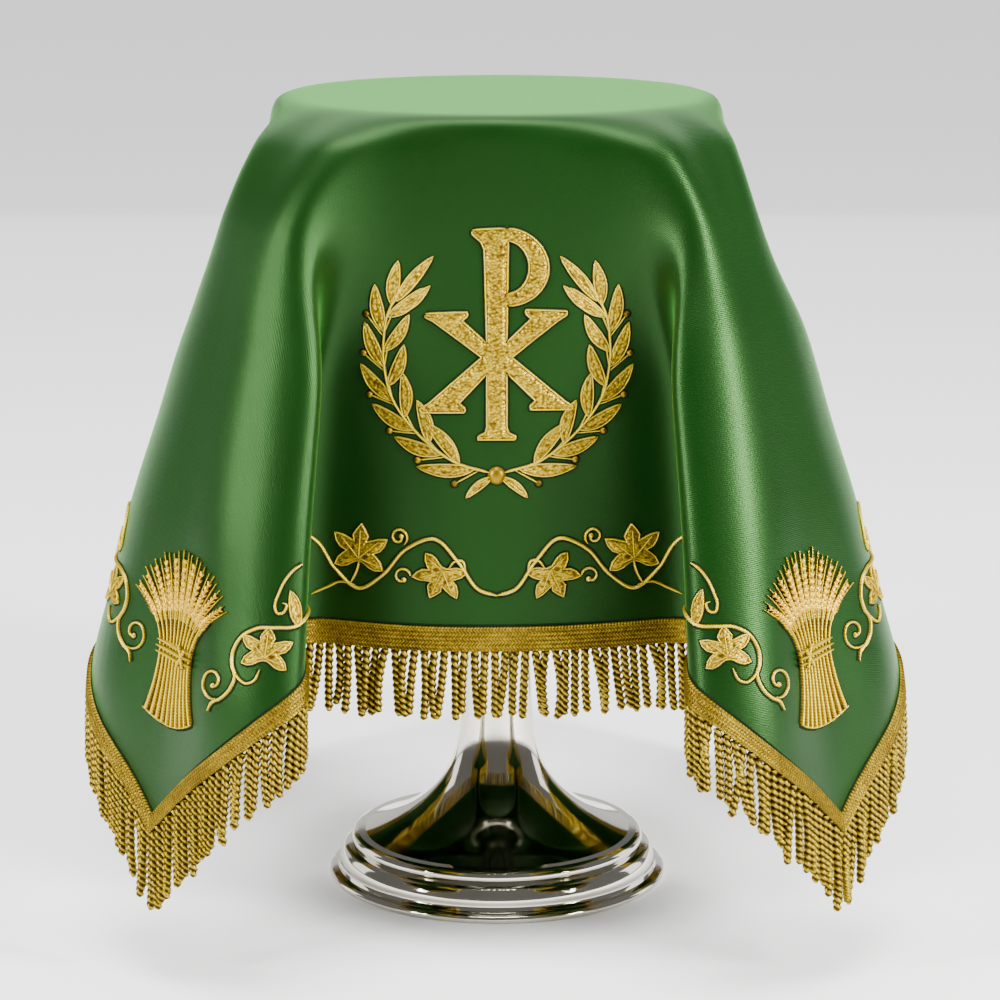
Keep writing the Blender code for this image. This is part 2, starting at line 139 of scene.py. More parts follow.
# Points along a side's hem, and along its braid and seam
HEM_STEPS = 1441
BRAID_STEPS = 521

FOOT_PROFILE = (
    # radius, height, 1 where the edge is sharp
    (0.0, 0.0, 1), (55.8, 0.0, 1), (56.9, 0.5, 0), (57.2, 1.3, 0), (56.9, 2.2, 0), (56.0, 2.9, 1),
    (54.2, 3.3, 1), (53.6, 4.2, 0), (53.5, 6.4, 0), (52.9, 8.6, 0), (51.9, 10.2, 0), (50.9, 10.9, 1),
    (49.2, 11.3, 1), (49.5, 12.4, 0), (49.4, 13.6, 0), (48.6, 14.7, 0), (47.4, 15.3, 1),
    (44.9, 15.5, 1), (41.0, 16.9, 0), (36.5, 18.9, 0), (31.0, 21.9, 0), (26.0, 25.6, 0),
    (21.5, 30.0, 0), (17.8, 34.9, 0), (15.2, 40.0, 0), (13.5, 46.0, 0), (12.4, 54.0, 0),
    (11.5, 70.0, 0), (11.0, 96.0, 0), (12.1, 118.0, 0), (13.9, 127.6, 1), (0.0, 127.6, 1),
)
FOOT_STEPS = 144

# Embroidery: along is the real length from a side's middle, line the flat distance from the cloth's middle.
# The tables are for the left half of a side, and the right half mirrors them.

VINE_STEM = (
    # along, line
    (0.0, 222.0), (5.0, 220.6), (12.0, 211.5), (19.5, 204.2), (28.0, 207.5), (36.0, 216.5),
    (44.0, 221.3), (52.0, 215.5), (58.0, 207.0), (67.0, 203.5), (77.0, 211.0), (87.0, 219.0),
    (97.0, 218.0), (107.0, 214.5), (116.0, 213.0), (122.0, 209.0), (129.0, 204.3), (134.5, 203.2),
    (138.2, 205.2), (139.6, 209.0), (139.4, 213.0), (142.5, 215.4), (146.5, 215.6), (150.5, 214.4),
    (152.6, 215.8),
)
VINE_SHOOTS = (
    # lines of (along, line): two by the crest's leaf, one by the middle's, two on the corner fold
    ((46.5, 219.5), (44.5, 215.5), (43.5, 212.0)),
    ((45.0, 220.3), (50.0, 219.6), (55.0, 221.8), (60.0, 224.0)),
    ((9.6, 214.5), (10.8, 211.0), (13.2, 211.2), (15.0, 213.5)),
    ((139.3, 211.5), (137.8, 215.5), (136.0, 218.0), (133.0, 219.0), (130.5, 217.2)),
    ((150.8, 214.5), (148.3, 215.2)),
)
VINE_CURLS = (
    # centre along, centre line, first radius, last radius, first turn, last turn (degrees)
    (30.6, 204.0, 2.9, 0.9, -50.0, 380.0),
    (29.6, 216.6, 2.9, 1.1, 10.0, 300.0),
    (148.2, 208.8, 5.2, 1.0, 250.0, -130.0),
)
VINE_HOOK = (
    # along, line
    (109.0, 196.4), (112.0, 196.2), (115.5, 197.2), (118.4, 199.4), (120.8, 202.2), (120.6, 205.0),
    (118.4, 206.2), (117.0, 204.8), (118.2, 203.2),
)
VINE_LEAVES = (
    # along, line, size, turn (degrees, clockwise from upright)
    (43.6, 210.6, 9.6, 4.0),
    (17.2, 214.8, 8.4, 205.0),
    (74.0, 218.5, 7.8, 170.0),
    (127.6, 214.4, 8.2, 48.0),
)
VINE_SLIM_LEAF = ((114.4, 214.0), (114.8, 201.5))
VINE_LEAF_OUTLINE = (
    # right, up, in parts of the leaf's size, from its tip down its right half
    (0.00, 1.04), (0.14, 0.86), (0.26, 0.66), (0.19, 0.44), (0.40, 0.52), (0.62, 0.60), (0.92, 0.64),
    (0.84, 0.40), (0.70, 0.22), (0.44, 0.10), (0.58, 0.00), (0.74, -0.16), (0.84, -0.40), (0.60, -0.44),
    (0.40, -0.38), (0.22, -0.26), (0.10, -0.20),
)
VINE_LEAF_RIBS = (
    # right, up of each rib's end
    (0.0, 0.82), (0.66, 0.54), (-0.66, 0.54), (0.64, -0.27), (-0.64, -0.27),
)
# How far each side's vine ends move along the hem and towards it, and between which lengths along
VINE_END_SHIFTS = ((0.0, 0.0), (5.0, -14.0), (0.0, 0.0), (5.0, -14.0))
VINE_END = (60.0, 120.0)
WREATH_STEM = (
    # right, line
    (-2.5, 183.0), (-12.5, 180.0), (-20.0, 175.0), (-28.0, 167.0), (-33.0, 159.0), (-34.9, 151.0),
    (-35.2, 141.0), (-33.6, 132.0), (-31.8, 128.0),
)
WREATH_LEAF_PAIRS = 6
WREATH_LEAVES = (
    # Of each pair, the outer and the inner leaf: start in pairs along the stem, turn (degrees), length,
    # half width, bend; then its thin stalk: start along the stem, turn, length, and whether a berry ends it
    (0.35, -17.0, 16.0, 1.95, -0.8, -1.0, -44.0, 8.8, True),
    (0.80, 33.0, 14.5, 1.9, 0.8, 6.0, 22.0, 8.8, False),
)
WREATH_TOP_LEAVES = (
    # base and tip as right, line, then half width and bend
    ((-31.0, 128.4), (-19.6, 115.0), 1.75, -0.4),
    ((-32.4, 129.6), (-30.4, 115.4), 1.9, -0.5),
    ((-32.4, 132.4), (-20.6, 124.2), 1.55, 0.9),
)
WREATH_TIE_LEAF = ((-1.5, 184.5), (-9.6, 191.0), 1.2, 0.5)
MONOGRAM_STEM = (
    # right, line
    (-7.4, 107.4), (3.6, 107.0), (3.4, 120.0), (3.1, 142.0), (3.1, 169.0), (3.6, 170.6), (5.8, 171.6),
    (5.8, 172.7), (-5.8, 172.7), (-5.8, 171.6), (-3.6, 170.6), (-3.1, 169.0), (-3.1, 142.0),
    (-3.7, 118.0), (-3.9, 113.4), (-4.8, 111.2), (-6.6, 109.6), (-7.7, 108.6),
)
MONOGRAM_CROSS = (
    # right, line
    (-21.9, 132.9), (-9.2, 132.9), (-8.9, 134.0), (-10.7, 135.6), (0.0, 145.4), (10.6, 134.9),
    (8.8, 133.2), (9.0, 132.1), (21.5, 132.1), (21.8, 133.2), (19.4, 134.8), (4.6, 147.0),
    (21.3, 160.8), (23.6, 162.2), (23.5, 163.3), (10.5, 163.3), (10.2, 162.2), (12.0, 160.5),
    (0.0, 148.8), (-11.7, 161.3), (-9.7, 163.0), (-10.0, 164.2), (-23.5, 164.2), (-23.8, 163.0),
    (-21.3, 161.6), (-4.6, 147.0), (-19.8, 135.3), (-22.2, 134.0),
)
# The bowl's middle (right, line), its outer half axes and its inner half axes
MONOGRAM_BOWL = ((3.0, 119.0), (13.0, 12.0), (7.0, 8.2))
# The filling's mesh pitch, its first and last column and row, and its stitches
FILLING_PITCH = 0.3
FILLING_COLUMNS = (-24.5, 24.6)
FILLING_ROWS = (106.5, 173.3)
STITCH_LONG = 1.3
STITCH_ROW = 1.2

# The wheat sheaf: its middle's distance from the diagonal, and the tie's line and half width
WHEAT_MIDDLE = 4.5
WHEAT_TIE = 259.0
WHEAT_NECK = 8.4
# Half the fan's spread (degrees), and how far the middle and the outer ears reach above the tie
WHEAT_FAN = 50.0
WHEAT_REACH = (31.5, 28.0)
# The straw ends' half width, their line in the middle, and how much less far the outer ones go
WHEAT_BASE = (12.6, 285.5, 5.0)
WHEAT_STRAWS = 24
WHEAT_EARS = 11
WHEAT_ENDS = 10
WHEAT_GROUND_END = 0.72
WHEAT_SEED = 7
WHEAT_TIE_CORDS = (
    # how far below the tie's middle, in cords, and the extra height
    (-1.0, 0.0), (0.0, 0.25), (1.0, 0.0),
)

# Heights across a ribbon of thread: a round cord, a leaf with its rib, the flat dark strip of painted shadow
# round the gold and the one beside the braid
ROUND = np.array((-0.25, 0.72, 1.0, 0.72, -0.25))
SUNK_RIB = np.array((0.0, 0.8, 1.0, 0.85, 0.45, 0.85, 1.0, 0.8, 0.0))
SHADOW_STRIP = np.array((0.0, 0.13, 0.0))
BRAID_SHADOW_STRIP = np.array((0.0, 0.3, 0.0))

SATIN_TONES = (
    (0.3, (0.0004, 0.0085, 0.0005)),
    (0.5, (0.0006, 0.0115, 0.0007)),
    (0.7, (0.0009, 0.0150, 0.0010)),
)
# Metal thread, from its deep tones, painted shade where the relief lies low, to its bright ones, painted
# highlight where it stands up
# The deepest tones colour the wheat's ground as painted shade between its straws
GOLD_SHADE = ((0.010, 0.005, 0.0003), (0.040, 0.021, 0.0008), (0.10, 0.057, 0.002), (0.19, 0.120, 0.005))
GOLD_MID = ((0.010, 0.005, 0.0002), (0.060, 0.034, 0.001), (0.148, 0.094, 0.004), (0.31, 0.220, 0.013))
GOLD_RICH = ((0.034, 0.016, 0.0005), (0.17, 0.100, 0.003), (0.35, 0.233, 0.008), (0.60, 0.445, 0.024))
GOLD_PALE = ((0.068, 0.036, 0.0013), (0.25, 0.158, 0.005), (0.48, 0.345, 0.018), (0.74, 0.590, 0.060))
GOLD_WARM = ((0.024, 0.009, 0.0004), (0.16, 0.070, 0.002), (0.36, 0.190, 0.006), (0.60, 0.380, 0.025))
GOLD_PLACES = (0.22, 0.38, 0.54, 0.74)

FLOOR_TONE = (0.9, 0.9, 0.9, 1.0)
SKY_STRENGTH = 0.16
LIGHTS = (
    # name, place (m), size (m), power (W)
    ("left", (-1.04, -0.76, 0.70), (0.20, 0.8), 35.0),
    ("right", (1.04, -0.76, 0.70), (0.20, 0.8), 56.0),
    ("left_rim", (-0.95, 0.50, 0.30), (0.36, 0.5), 1.1),
    ("right_rim", (0.95, 0.50, 0.30), (0.36, 0.5), 1.1),
    ("low_back", (0.0, 1.7, 0.30), (3.2, 0.5), 3.6),
    ("high_back", (0.0, 1.0, 1.02), (1.8, 0.6), 6.0),
    ("above", (0.0, 0.1, 1.25), (1.2, 0.9), 9.0),
)
LIGHTS_AIM = (0.0, 0.0, 0.15)
SUN_STRENGTH = 4.0
SUN_TILT = 8.0
SUN_SOFTNESS = 30.0


def smooth_step(x, start=0.0, end=1.0):
    """0 up to start, 1 from end on, and a smooth rise between them."""
    t = np.clip((x - start) / (end - start), 0.0, 1.0)
    return t * t * (3.0 - 2.0 * t)


def smooth_curve(xs, ys, x):
    """Values at x of the smooth curve through the points (xs, ys)."""
    xs, ys, x = (np.asarray(a, float) for a in (xs, ys, x))
    steps = np.diff(xs)
    slopes = np.diff(ys) / steps
    inner = (slopes[:-1] * steps[1:] + slopes[1:] * steps[:-1]) / (steps[1:] + steps[:-1])
    tangents = np.concatenate([slopes[:1], inner, slopes[-1:]])
    k = np.clip(np.searchsorted(xs, x, side="right") - 1, 0, len(xs) - 2)
    t = (x - xs[k]) / steps[k]
    rise = 3 * t**2 - 2 * t**3
    lean = (t**3 - 2 * t**2 + t) * tangents[k] + (t**3 - t**2) * tangents[k + 1]
    return (1 - rise) * ys[k] + rise * ys[k + 1] + steps[k] * lean


def unit(vectors):
    return vectors / np.maximum(np.linalg.norm(vectors, axis=-1, keepdims=True), 1e-9)


def lengths_along(points):
    """The length from the first point of a line to each of its points."""
    steps = np.linalg.norm(np.diff(points, axis=0), axis=-1)
    return np.concatenate([[0.0], np.cumsum(steps)])


def between_rows(rows, starts, value):
    """The row of a table at a value that lies between those of its evenly spaced rows."""
    k = (value - starts[0]) / (starts[1] - starts[0])
    low = int(np.clip(k, 0, len(starts) - 2))
    return rows[low] * (low + 1 - k) + rows[low + 1] * (k - low)


def swell_at(depth, high, low):
    """How much further out a corner fold comes at a depth."""
    total = 0.0
    for size, (start, end) in ((high, HIGH_SWELL), (low, LOW_SWELL)):
        total += size * np.sin(np.pi * np.clip((depth - start) / (end - start), 0.0, 1.0))
    return total


def section_column(name, depth):
    rows = np.array(SECTIONS)
    return smooth_curve(rows[:, 0], rows[:, SECTION_COLUMNS.index(name)], depth)


def eighth_of_section(depth, swell):
    """Control points from a side's middle to a corner fold's diagonal, as (sideways, outwards)."""
    row = {name: float(section_column(name, depth)) for name in SECTION_COLUMNS}
    panel, bow, middle, tuck = row["panel"], row["bow"], row["middle"], row["tuck"]
    reach = row["reach"] + swell
    corner = row["corner"] + 0.8 * swell
    wide = reach - middle
    gather = panel - bow - row["valley"] - 1.0
    # Each control point lies between the panel, the valley beside the fold, the fold's reach and its corner
    ends = (
        (middle + 0.42 * wide + 2.0, reach - 0.06 * wide + 2.5),
        (corner + 0.3, corner + 0.3),
    )
    folded = (
        (0.0, panel),
        (0.42 * middle, panel - 0.15 * bow),
        (0.80 * middle, panel - 0.9 * bow),
        (middle + tuck, gather),
        (middle + tuck, 0.5 * (gather + 1.0 + reach) + 2.0),
        (middle - 3.0, reach + 0.8),
        *ends,
    )
    soft = (
        (0.0, panel),
        (0.42 * middle, panel - 0.1 * bow),
        (0.70 * middle, panel - 0.1 * bow),
        (0.90 * middle, panel + 0.20 * (reach - panel)),
        (1.08 * middle, panel + 0.62 * (reach - panel)),
        (1.22 * middle, reach - 0.3),
        *ends,
    )
    tucked = smooth_step(depth, *SHOULDER)
    hanging = tucked * np.array(folded) + (1 - tucked) * np.array(soft)
    turns = np.linspace(0.0, np.pi / 4, len(folded))
    circle = EDGE_RADIUS * 6 / (4 + 2 * np.cos(turns[1])) * np.stack([np.sin(turns), np.cos(turns)], 1)
    return (1 - row["fold"]) * circle + row["fold"] * hanging


def section_spline(depth):
    """The closed section curve at a depth, from the front side's middle, counter-clockwise from above."""
    control = []
    for quarter, (_, high, low) in enumerate(CORNER_FOLDS):
        eighth = eighth_of_section(depth, swell_at(depth, high, low))
        to_corner = eighth * (1, -1)
        to_side = (eighth[::-1] * (1, -1))[:, ::-1] * (-1, -1)
        points = np.concatenate([to_corner, to_side[1:-1]])
        control.append(np.stack(turned_flat(*points.T, quarter), 1))
    control = np.concatenate(control)
    t = np.arange(SPAN_STEPS)[:, None] / SPAN_STEPS
    weights = np.hstack([(1 - t) ** 3, 3 * t**3 - 6 * t**2 + 4, -3 * t**3 + 3 * t**2 + 3 * t + 1, t**3]) / 6
    return np.concatenate([weights @ np.roll(control, 1 - k, axis=0)[:4] for k in range(len(control))])


def section_tables(depths, fractions):
    """For each eighth of the round and each depth: points at even parts of its length, and the length."""
    points = np.empty((8, len(depths), len(fractions), 2))
    lengths = np.empty((8, len(depths)))
    for i, depth in enumerate(depths):
        spline = section_spline(depth)
        spline = np.concatenate([spline, spline[:1]])
        per_eighth = (len(spline) - 1) // 8
        for eighth in range(8):
            part = spline[eighth * per_eighth : (eighth + 1) * per_eighth + 1]
            if eighth % 2:
                part = part[::-1]
            along = lengths_along(part)
            lengths[eighth, i] = along[-1]
            for axis in (0, 1):
                points[eighth, i, :, axis] = np.interp(fractions * along[-1], along, part[:, axis])
    return points, lengths


def depth_below_top(turn, distance):
    """Depth of the cloth at a flat distance from its middle, and a turn from the nearest side's middle."""
    cosine = np.cos(turn)
    eased = 1 - smooth_step(distance, EDGE_RADIUS, EDGE_RADIUS + EASED_REACH)
    side = distance * cosine - EDGE_RADIUS + EDGE_RADIUS * (1 - cosine) * eased
    diagonal = smooth_curve(*np.array(DIAGONAL).T, distance)
    return side + smooth_step(np.degrees(turn), *LEVEL_TURN) * (diagonal - side)


def gathered_share(turn, depth, length):
    """What part of its eighth of the section the cloth has passed at a turn from the side's middle."""
    fine = np.radians(np.linspace(0.0, EIGHTH, 901))

    def sums(density):
        return np.concatenate([[0.0], np.cumsum(density[1:] + density[:-1])]) * fine[1] / 2

    gathered = smooth_step(np.degrees(fine), *GATHER_TURN)
    plain_sum, gathered_sum = sums((1 - gathered) / np.cos(fine) ** 2), sums(gathered)
    side = EDGE_RADIUS + depth
    density = (length - side * plain_sum[-1]) / gathered_sum[-1]
    passed = side * np.interp(turn, fine, plain_sum) + density * np.interp(turn, fine, gathered_sum)
    fold = section_column("fold", depth)
    return np.clip((1 - fold) * turn / (np.pi / 4) + fold * passed / length, 0.0, 1.0)


def crease_height(angle, distance):
    """Soft waves in the cloth that the solid leaves out, in millimetres out of its face."""
    height = np.zeros_like(distance)
    for turn, wide, start, end, size in CREASES:
        across = (np.degrees(angle) - turn + 180.0) % 360.0 - 180.0
        rise = smooth_step(distance, start, start + CREASE_FADE)
        fall = smooth_step(distance, end - CREASE_FADE, end)
        height += size * np.exp(-((across / wide) ** 2)) * rise * (1 - fall)
    return height


def turned_flat(u, v, quarter):
    """Flat points of the front side, turned to another side."""
    c, s = ((1, 0), (0, 1), (-1, 0), (0, -1))[quarter]
    return u * c - v * s, u * s + v * c


def line_along_side(line, steps, quarter):
    """Flat points along a whole side, on one line or, for an array of lines, on each."""
    slopes = np.tan(np.radians(np.linspace(-EIGHTH, EIGHTH, steps)))
    u = np.multiply.outer(slopes, line)
    return turned_flat(u, np.broadcast_to(-np.asarray(line), u.shape), quarter)


class Drape:
    """The draped cloth's outer face, as points on a grid of flat angles and flat distances."""

    ANGLES = 1440
    FARTHEST = 344
    DEPTHS = np.arange(0.0, 222.0)
    FRACTIONS = np.linspace(0.0, 1.0, 121)
    # Where real lengths are measured: along lines of a side, and across the front left diagonal
    TURNS = np.linspace(0.0, np.pi / 4, 361)
    LINES = np.arange(76.0, 241.0, 2.0)
    CORNER_LINES = np.arange(205.0, 300.1, 2.5)
    CORNER_ACROSS = np.linspace(-45.0, 45.0, 181)

    def __init__(self):
        sections, lengths = section_tables(self.DEPTHS, self.FRACTIONS)
        angles = np.arange(self.ANGLES) * 2 * np.pi / self.ANGLES
        angle, distance = np.meshgrid(angles, np.arange(self.FARTHEST + 1.0), indexing="ij")
        eighth = np.minimum((angle / (np.pi / 4)).astype(int), 7)
        turn = angle - eighth * np.pi / 4
        turn = np.where(eighth % 2 == 1, np.pi / 4 - turn, turn)
        depth = depth_below_top(turn, np.maximum(distance, EDGE_RADIUS)).clip(0.0, self.DEPTHS[-1] - 0.01)
        level = depth.astype(int)
        down = depth - level
        length = lengths[eighth, level] * (1 - down) + lengths[eighth, level + 1] * down
        last = len(self.FRACTIONS) - 1
        share = gathered_share(turn, depth, length) * last
        step = np.minimum(share.astype(int), last - 1)
        part, down = (share - step)[..., None], down[..., None]
        upper, lower = (
            sections[eighth, row, step] * (1 - part) + sections[eighth, row, step + 1] * part
            for row in (level, level + 1)
        )
        flat = np.stack([distance * np.sin(angle), -distance * np.cos(angle)], -1)
        hanging = (distance > EDGE_RADIUS)[..., None]
        plan = np.where(hanging, upper * (1 - down) + lower * down, flat)
        grid = self.rounded(np.concatenate([plan, TOP_Z - np.where(hanging, depth[..., None], 0.0)], -1))
        self.grid = grid + self.outward(grid) * crease_height(angle, distance)[..., None]
        self.normals = self.outward(self.grid)
        self.side_arcs = [lengths_along(self.place(line * np.tan(self.TURNS), -line)) for line in self.LINES]
        self.corner_arcs = [self.arc_across_corner(line) for line in self.CORNER_LINES]

    @staticmethod
    def rounded(grid):
        """The grid with the crease at the edge rounded, by averaging along each ray."""
        reach = EDGE_ROUNDING
        weights = reach - np.abs(np.arange(-reach + 1, reach))
        ends = np.repeat(grid[:, :1], reach, 1), np.repeat(grid[:, -1:], reach, 1)
        padded = np.concatenate([ends[0], grid, ends[1]], 1)
        last = grid.shape[1]
        total = sum(w * padded[:, 1 + k : 1 + k + last] for k, w in enumerate(weights)) / weights.sum()
        result = grid.copy()
        near = slice(2 * reach, last - reach)
        result[:, near] = total[:, near]
        return result

    @staticmethod
    def outward(grid):
        """The way out of the face at each point of the grid."""
        round_way = np.roll(grid, -1, axis=0) - np.roll(grid, 1, axis=0)
        normal = np.cross(np.gradient(grid, axis=1), round_way)
        size = np.linalg.norm(normal, axis=-1, keepdims=True)
        return np.where(size > 1e-9, normal / np.maximum(size, 1e-9), (0.0, 0.0, 1.0))

    def look_up(self, values, u, v):
        turns = np.arctan2(u, -np.asarray(v, float)) / (2 * np.pi) % 1.0 * self.ANGLES
        distance = np.minimum(np.hypot(u, v), self.FARTHEST - 0.01)
        i, j = turns.astype(int), distance.astype(int)
        a, b = (turns - i)[..., None], (distance - j)[..., None]
        i, after = i % self.ANGLES, (i + 1) % self.ANGLES
        near = values[i, j] * (1 - a) + values[after, j] * a
        far = values[i, j + 1] * (1 - a) + values[after, j + 1] * a
        return near * (1 - b) + far * b

    def place(self, u, v, off=0.0):
        """Where the flat points (u, v) hang, off this far from the cloth's outer face, in millimetres."""
        normals = unit(self.look_up(self.normals, u, v))
        return self.look_up(self.grid, u, v) + normals * np.asarray(off)[..., None]

    def arc_across_corner(self, line):
        """Real lengths from the front left diagonal, at even flat steps across it."""
        across = self.CORNER_ACROSS
        arc = lengths_along(self.place(-(line - across) * np.sqrt(0.5), -(line + across) * np.sqrt(0.5)))
        return arc - arc[len(across) // 2]

    def flat_of(self, along, line):
        """The flat points real lengths along from the front side's middle, on flat lines so far out."""
        u = np.empty(len(along))
        for k, (real, out) in enumerate(zip(along, line)):
            turn = np.interp(abs(real), between_rows(self.side_arcs, self.LINES, out), self.TURNS)
            u[k] = np.sign(real) * out * np.tan(turn)
        return u, -line


def smooth_line(points, pitch):
    """A smooth curve through the points, with a point about every pitch."""
    points = np.asarray(points, float)
    along = lengths_along(points)
    fine = np.linspace(0.0, along[-1], max(3, int(along[-1] / pitch) + 2))
    curve = smooth_curve if len(points) > 2 else lambda xs, ys, x: np.interp(x, xs, ys)
    return np.stack([curve(along, points[:, axis], fine) for axis in (0, 1)], 1)


def straight_line(points, pitch):
    """The points' polygon with a point about every pitch, its corners kept."""
    points = np.asarray(points, float)
    parts = []
    for a, b in zip(points, points[1:]):
        count = max(1, int(np.hypot(*(b - a)) / pitch + 0.5))
        parts.append(a + (b - a) * (np.arange(count) / count)[:, None])
    return np.concatenate([*parts, points[-1:]])


def bent_line(start, bend, end, part):
    """Points at parts of the curve that leaves start towards bend and ends at end."""
    start, bend, end = (np.stack(np.broadcast_arrays(*point), -1) for point in (start, bend, end))
    part = np.asarray(part, float)[..., None]
    return (1 - part) ** 2 * start + 2 * part * (1 - part) * bend + part**2 * end


def wheat_stalk(k, part):
    """Where a wheat stalk runs: k from -1 to 1 across the fan, part from the tie to the ear's tip."""
    turn = np.radians(WHEAT_FAN) * k
    reach = WHEAT_REACH[0] + (WHEAT_REACH[1] - WHEAT_REACH[0]) * k**2
    tip = (np.sin(turn) * reach, WHEAT_TIE - np.cos(turn) * reach)
    return bent_line((WHEAT_NECK * k, WHEAT_TIE), (WHEAT_NECK * 1.1 * k, WHEAT_TIE - 9.5), tip, part)


def wheat_straw(k, part):
    """Where a straw runs below the tie: k from -1 to 1 across the sheaf, part from the tie to its end."""
    wide, low, arch = WHEAT_BASE
    end = (wide * k, low - arch * k**2)
    return bent_line((WHEAT_NECK * k, WHEAT_TIE), (WHEAT_NECK * 0.95 * k, WHEAT_TIE + 8.0), end, part)


def turned(way, degrees):
    """A flat direction turned clockwise as (right, line) is seen."""
    c, s = np.cos(np.radians(degrees)), np.sin(np.radians(degrees))
    return np.array((way[0] * c - way[1] * s, way[0] * s + way[1] * c))


def inside(points, polygon):
    """Which points lie inside a closed polygon."""
    result = np.zeros(len(points), bool)
    for (x1, y1), (x2, y2) in zip(polygon, np.roll(polygon, -1, axis=0)):
        if y1 != y2:
            crosses = (points[:, 1] < y1) != (points[:, 1] < y2)
            result ^= crosses & (points[:, 0] < x1 + (x2 - x1) * (points[:, 1] - y1) / (y2 - y1))
    return result


def put_in_scene(name, data):
    made = bpy.data.objects.new(name, data)
    bpy.context.scene.collection.objects.link(made)
    return made


class Pile:
    """A mesh that grows piece by piece, with flat coordinates for its material."""

    def __init__(self):
        self.points, self.faces, self.flats, self.count = [], [], [], 0

    def add(self, points, faces, flats):
        points = np.asarray(points, float).reshape(-1, 3)
        self.points.append(points)
        self.faces += (np.asarray(faces) + self.count).tolist()
        self.flats.append(np.asarray(flats, float).reshape(-1, 2))
        self.count += len(points)

    def add_grid(self, points, flats, closed=False):
        """A grid of points, whose faces look along the rows' way crossed with the columns' way."""
        rows, columns = points.shape[:2]
        last = columns if closed else columns - 1
        r, c = np.meshgrid(np.arange(rows - 1), np.arange(last), indexing="ij")
        a = r * columns + c
        b = r * columns + (c + 1) % columns
        self.add(points, np.stack([a, a + columns, b + columns, b], -1).reshape(-1, 4), flats)

    def piece(self, name, material, slot, replaced=None):
        """The finished piece, which rides on the one body and may stand for a node of the model."""
        mesh = bpy.data.meshes.new(name)
        mesh.from_pydata((np.concatenate(self.points) * MM).tolist(), [], self.faces)
        layer = mesh.uv_layers.new(name="flat")
        loops = np.empty(len(mesh.loops), np.int32)
        mesh.loops.foreach_get("vertex_index", loops)
        layer.data.foreach_set("uv", (np.concatenate(self.flats)[loops] * MM).astype(np.float32).ravel())
        mesh.shade_smooth()
        mesh.materials.append(material)
        made = put_in_scene(name, mesh)
        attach(made, "root")
        if replaced:
            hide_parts(replaced)
        return made


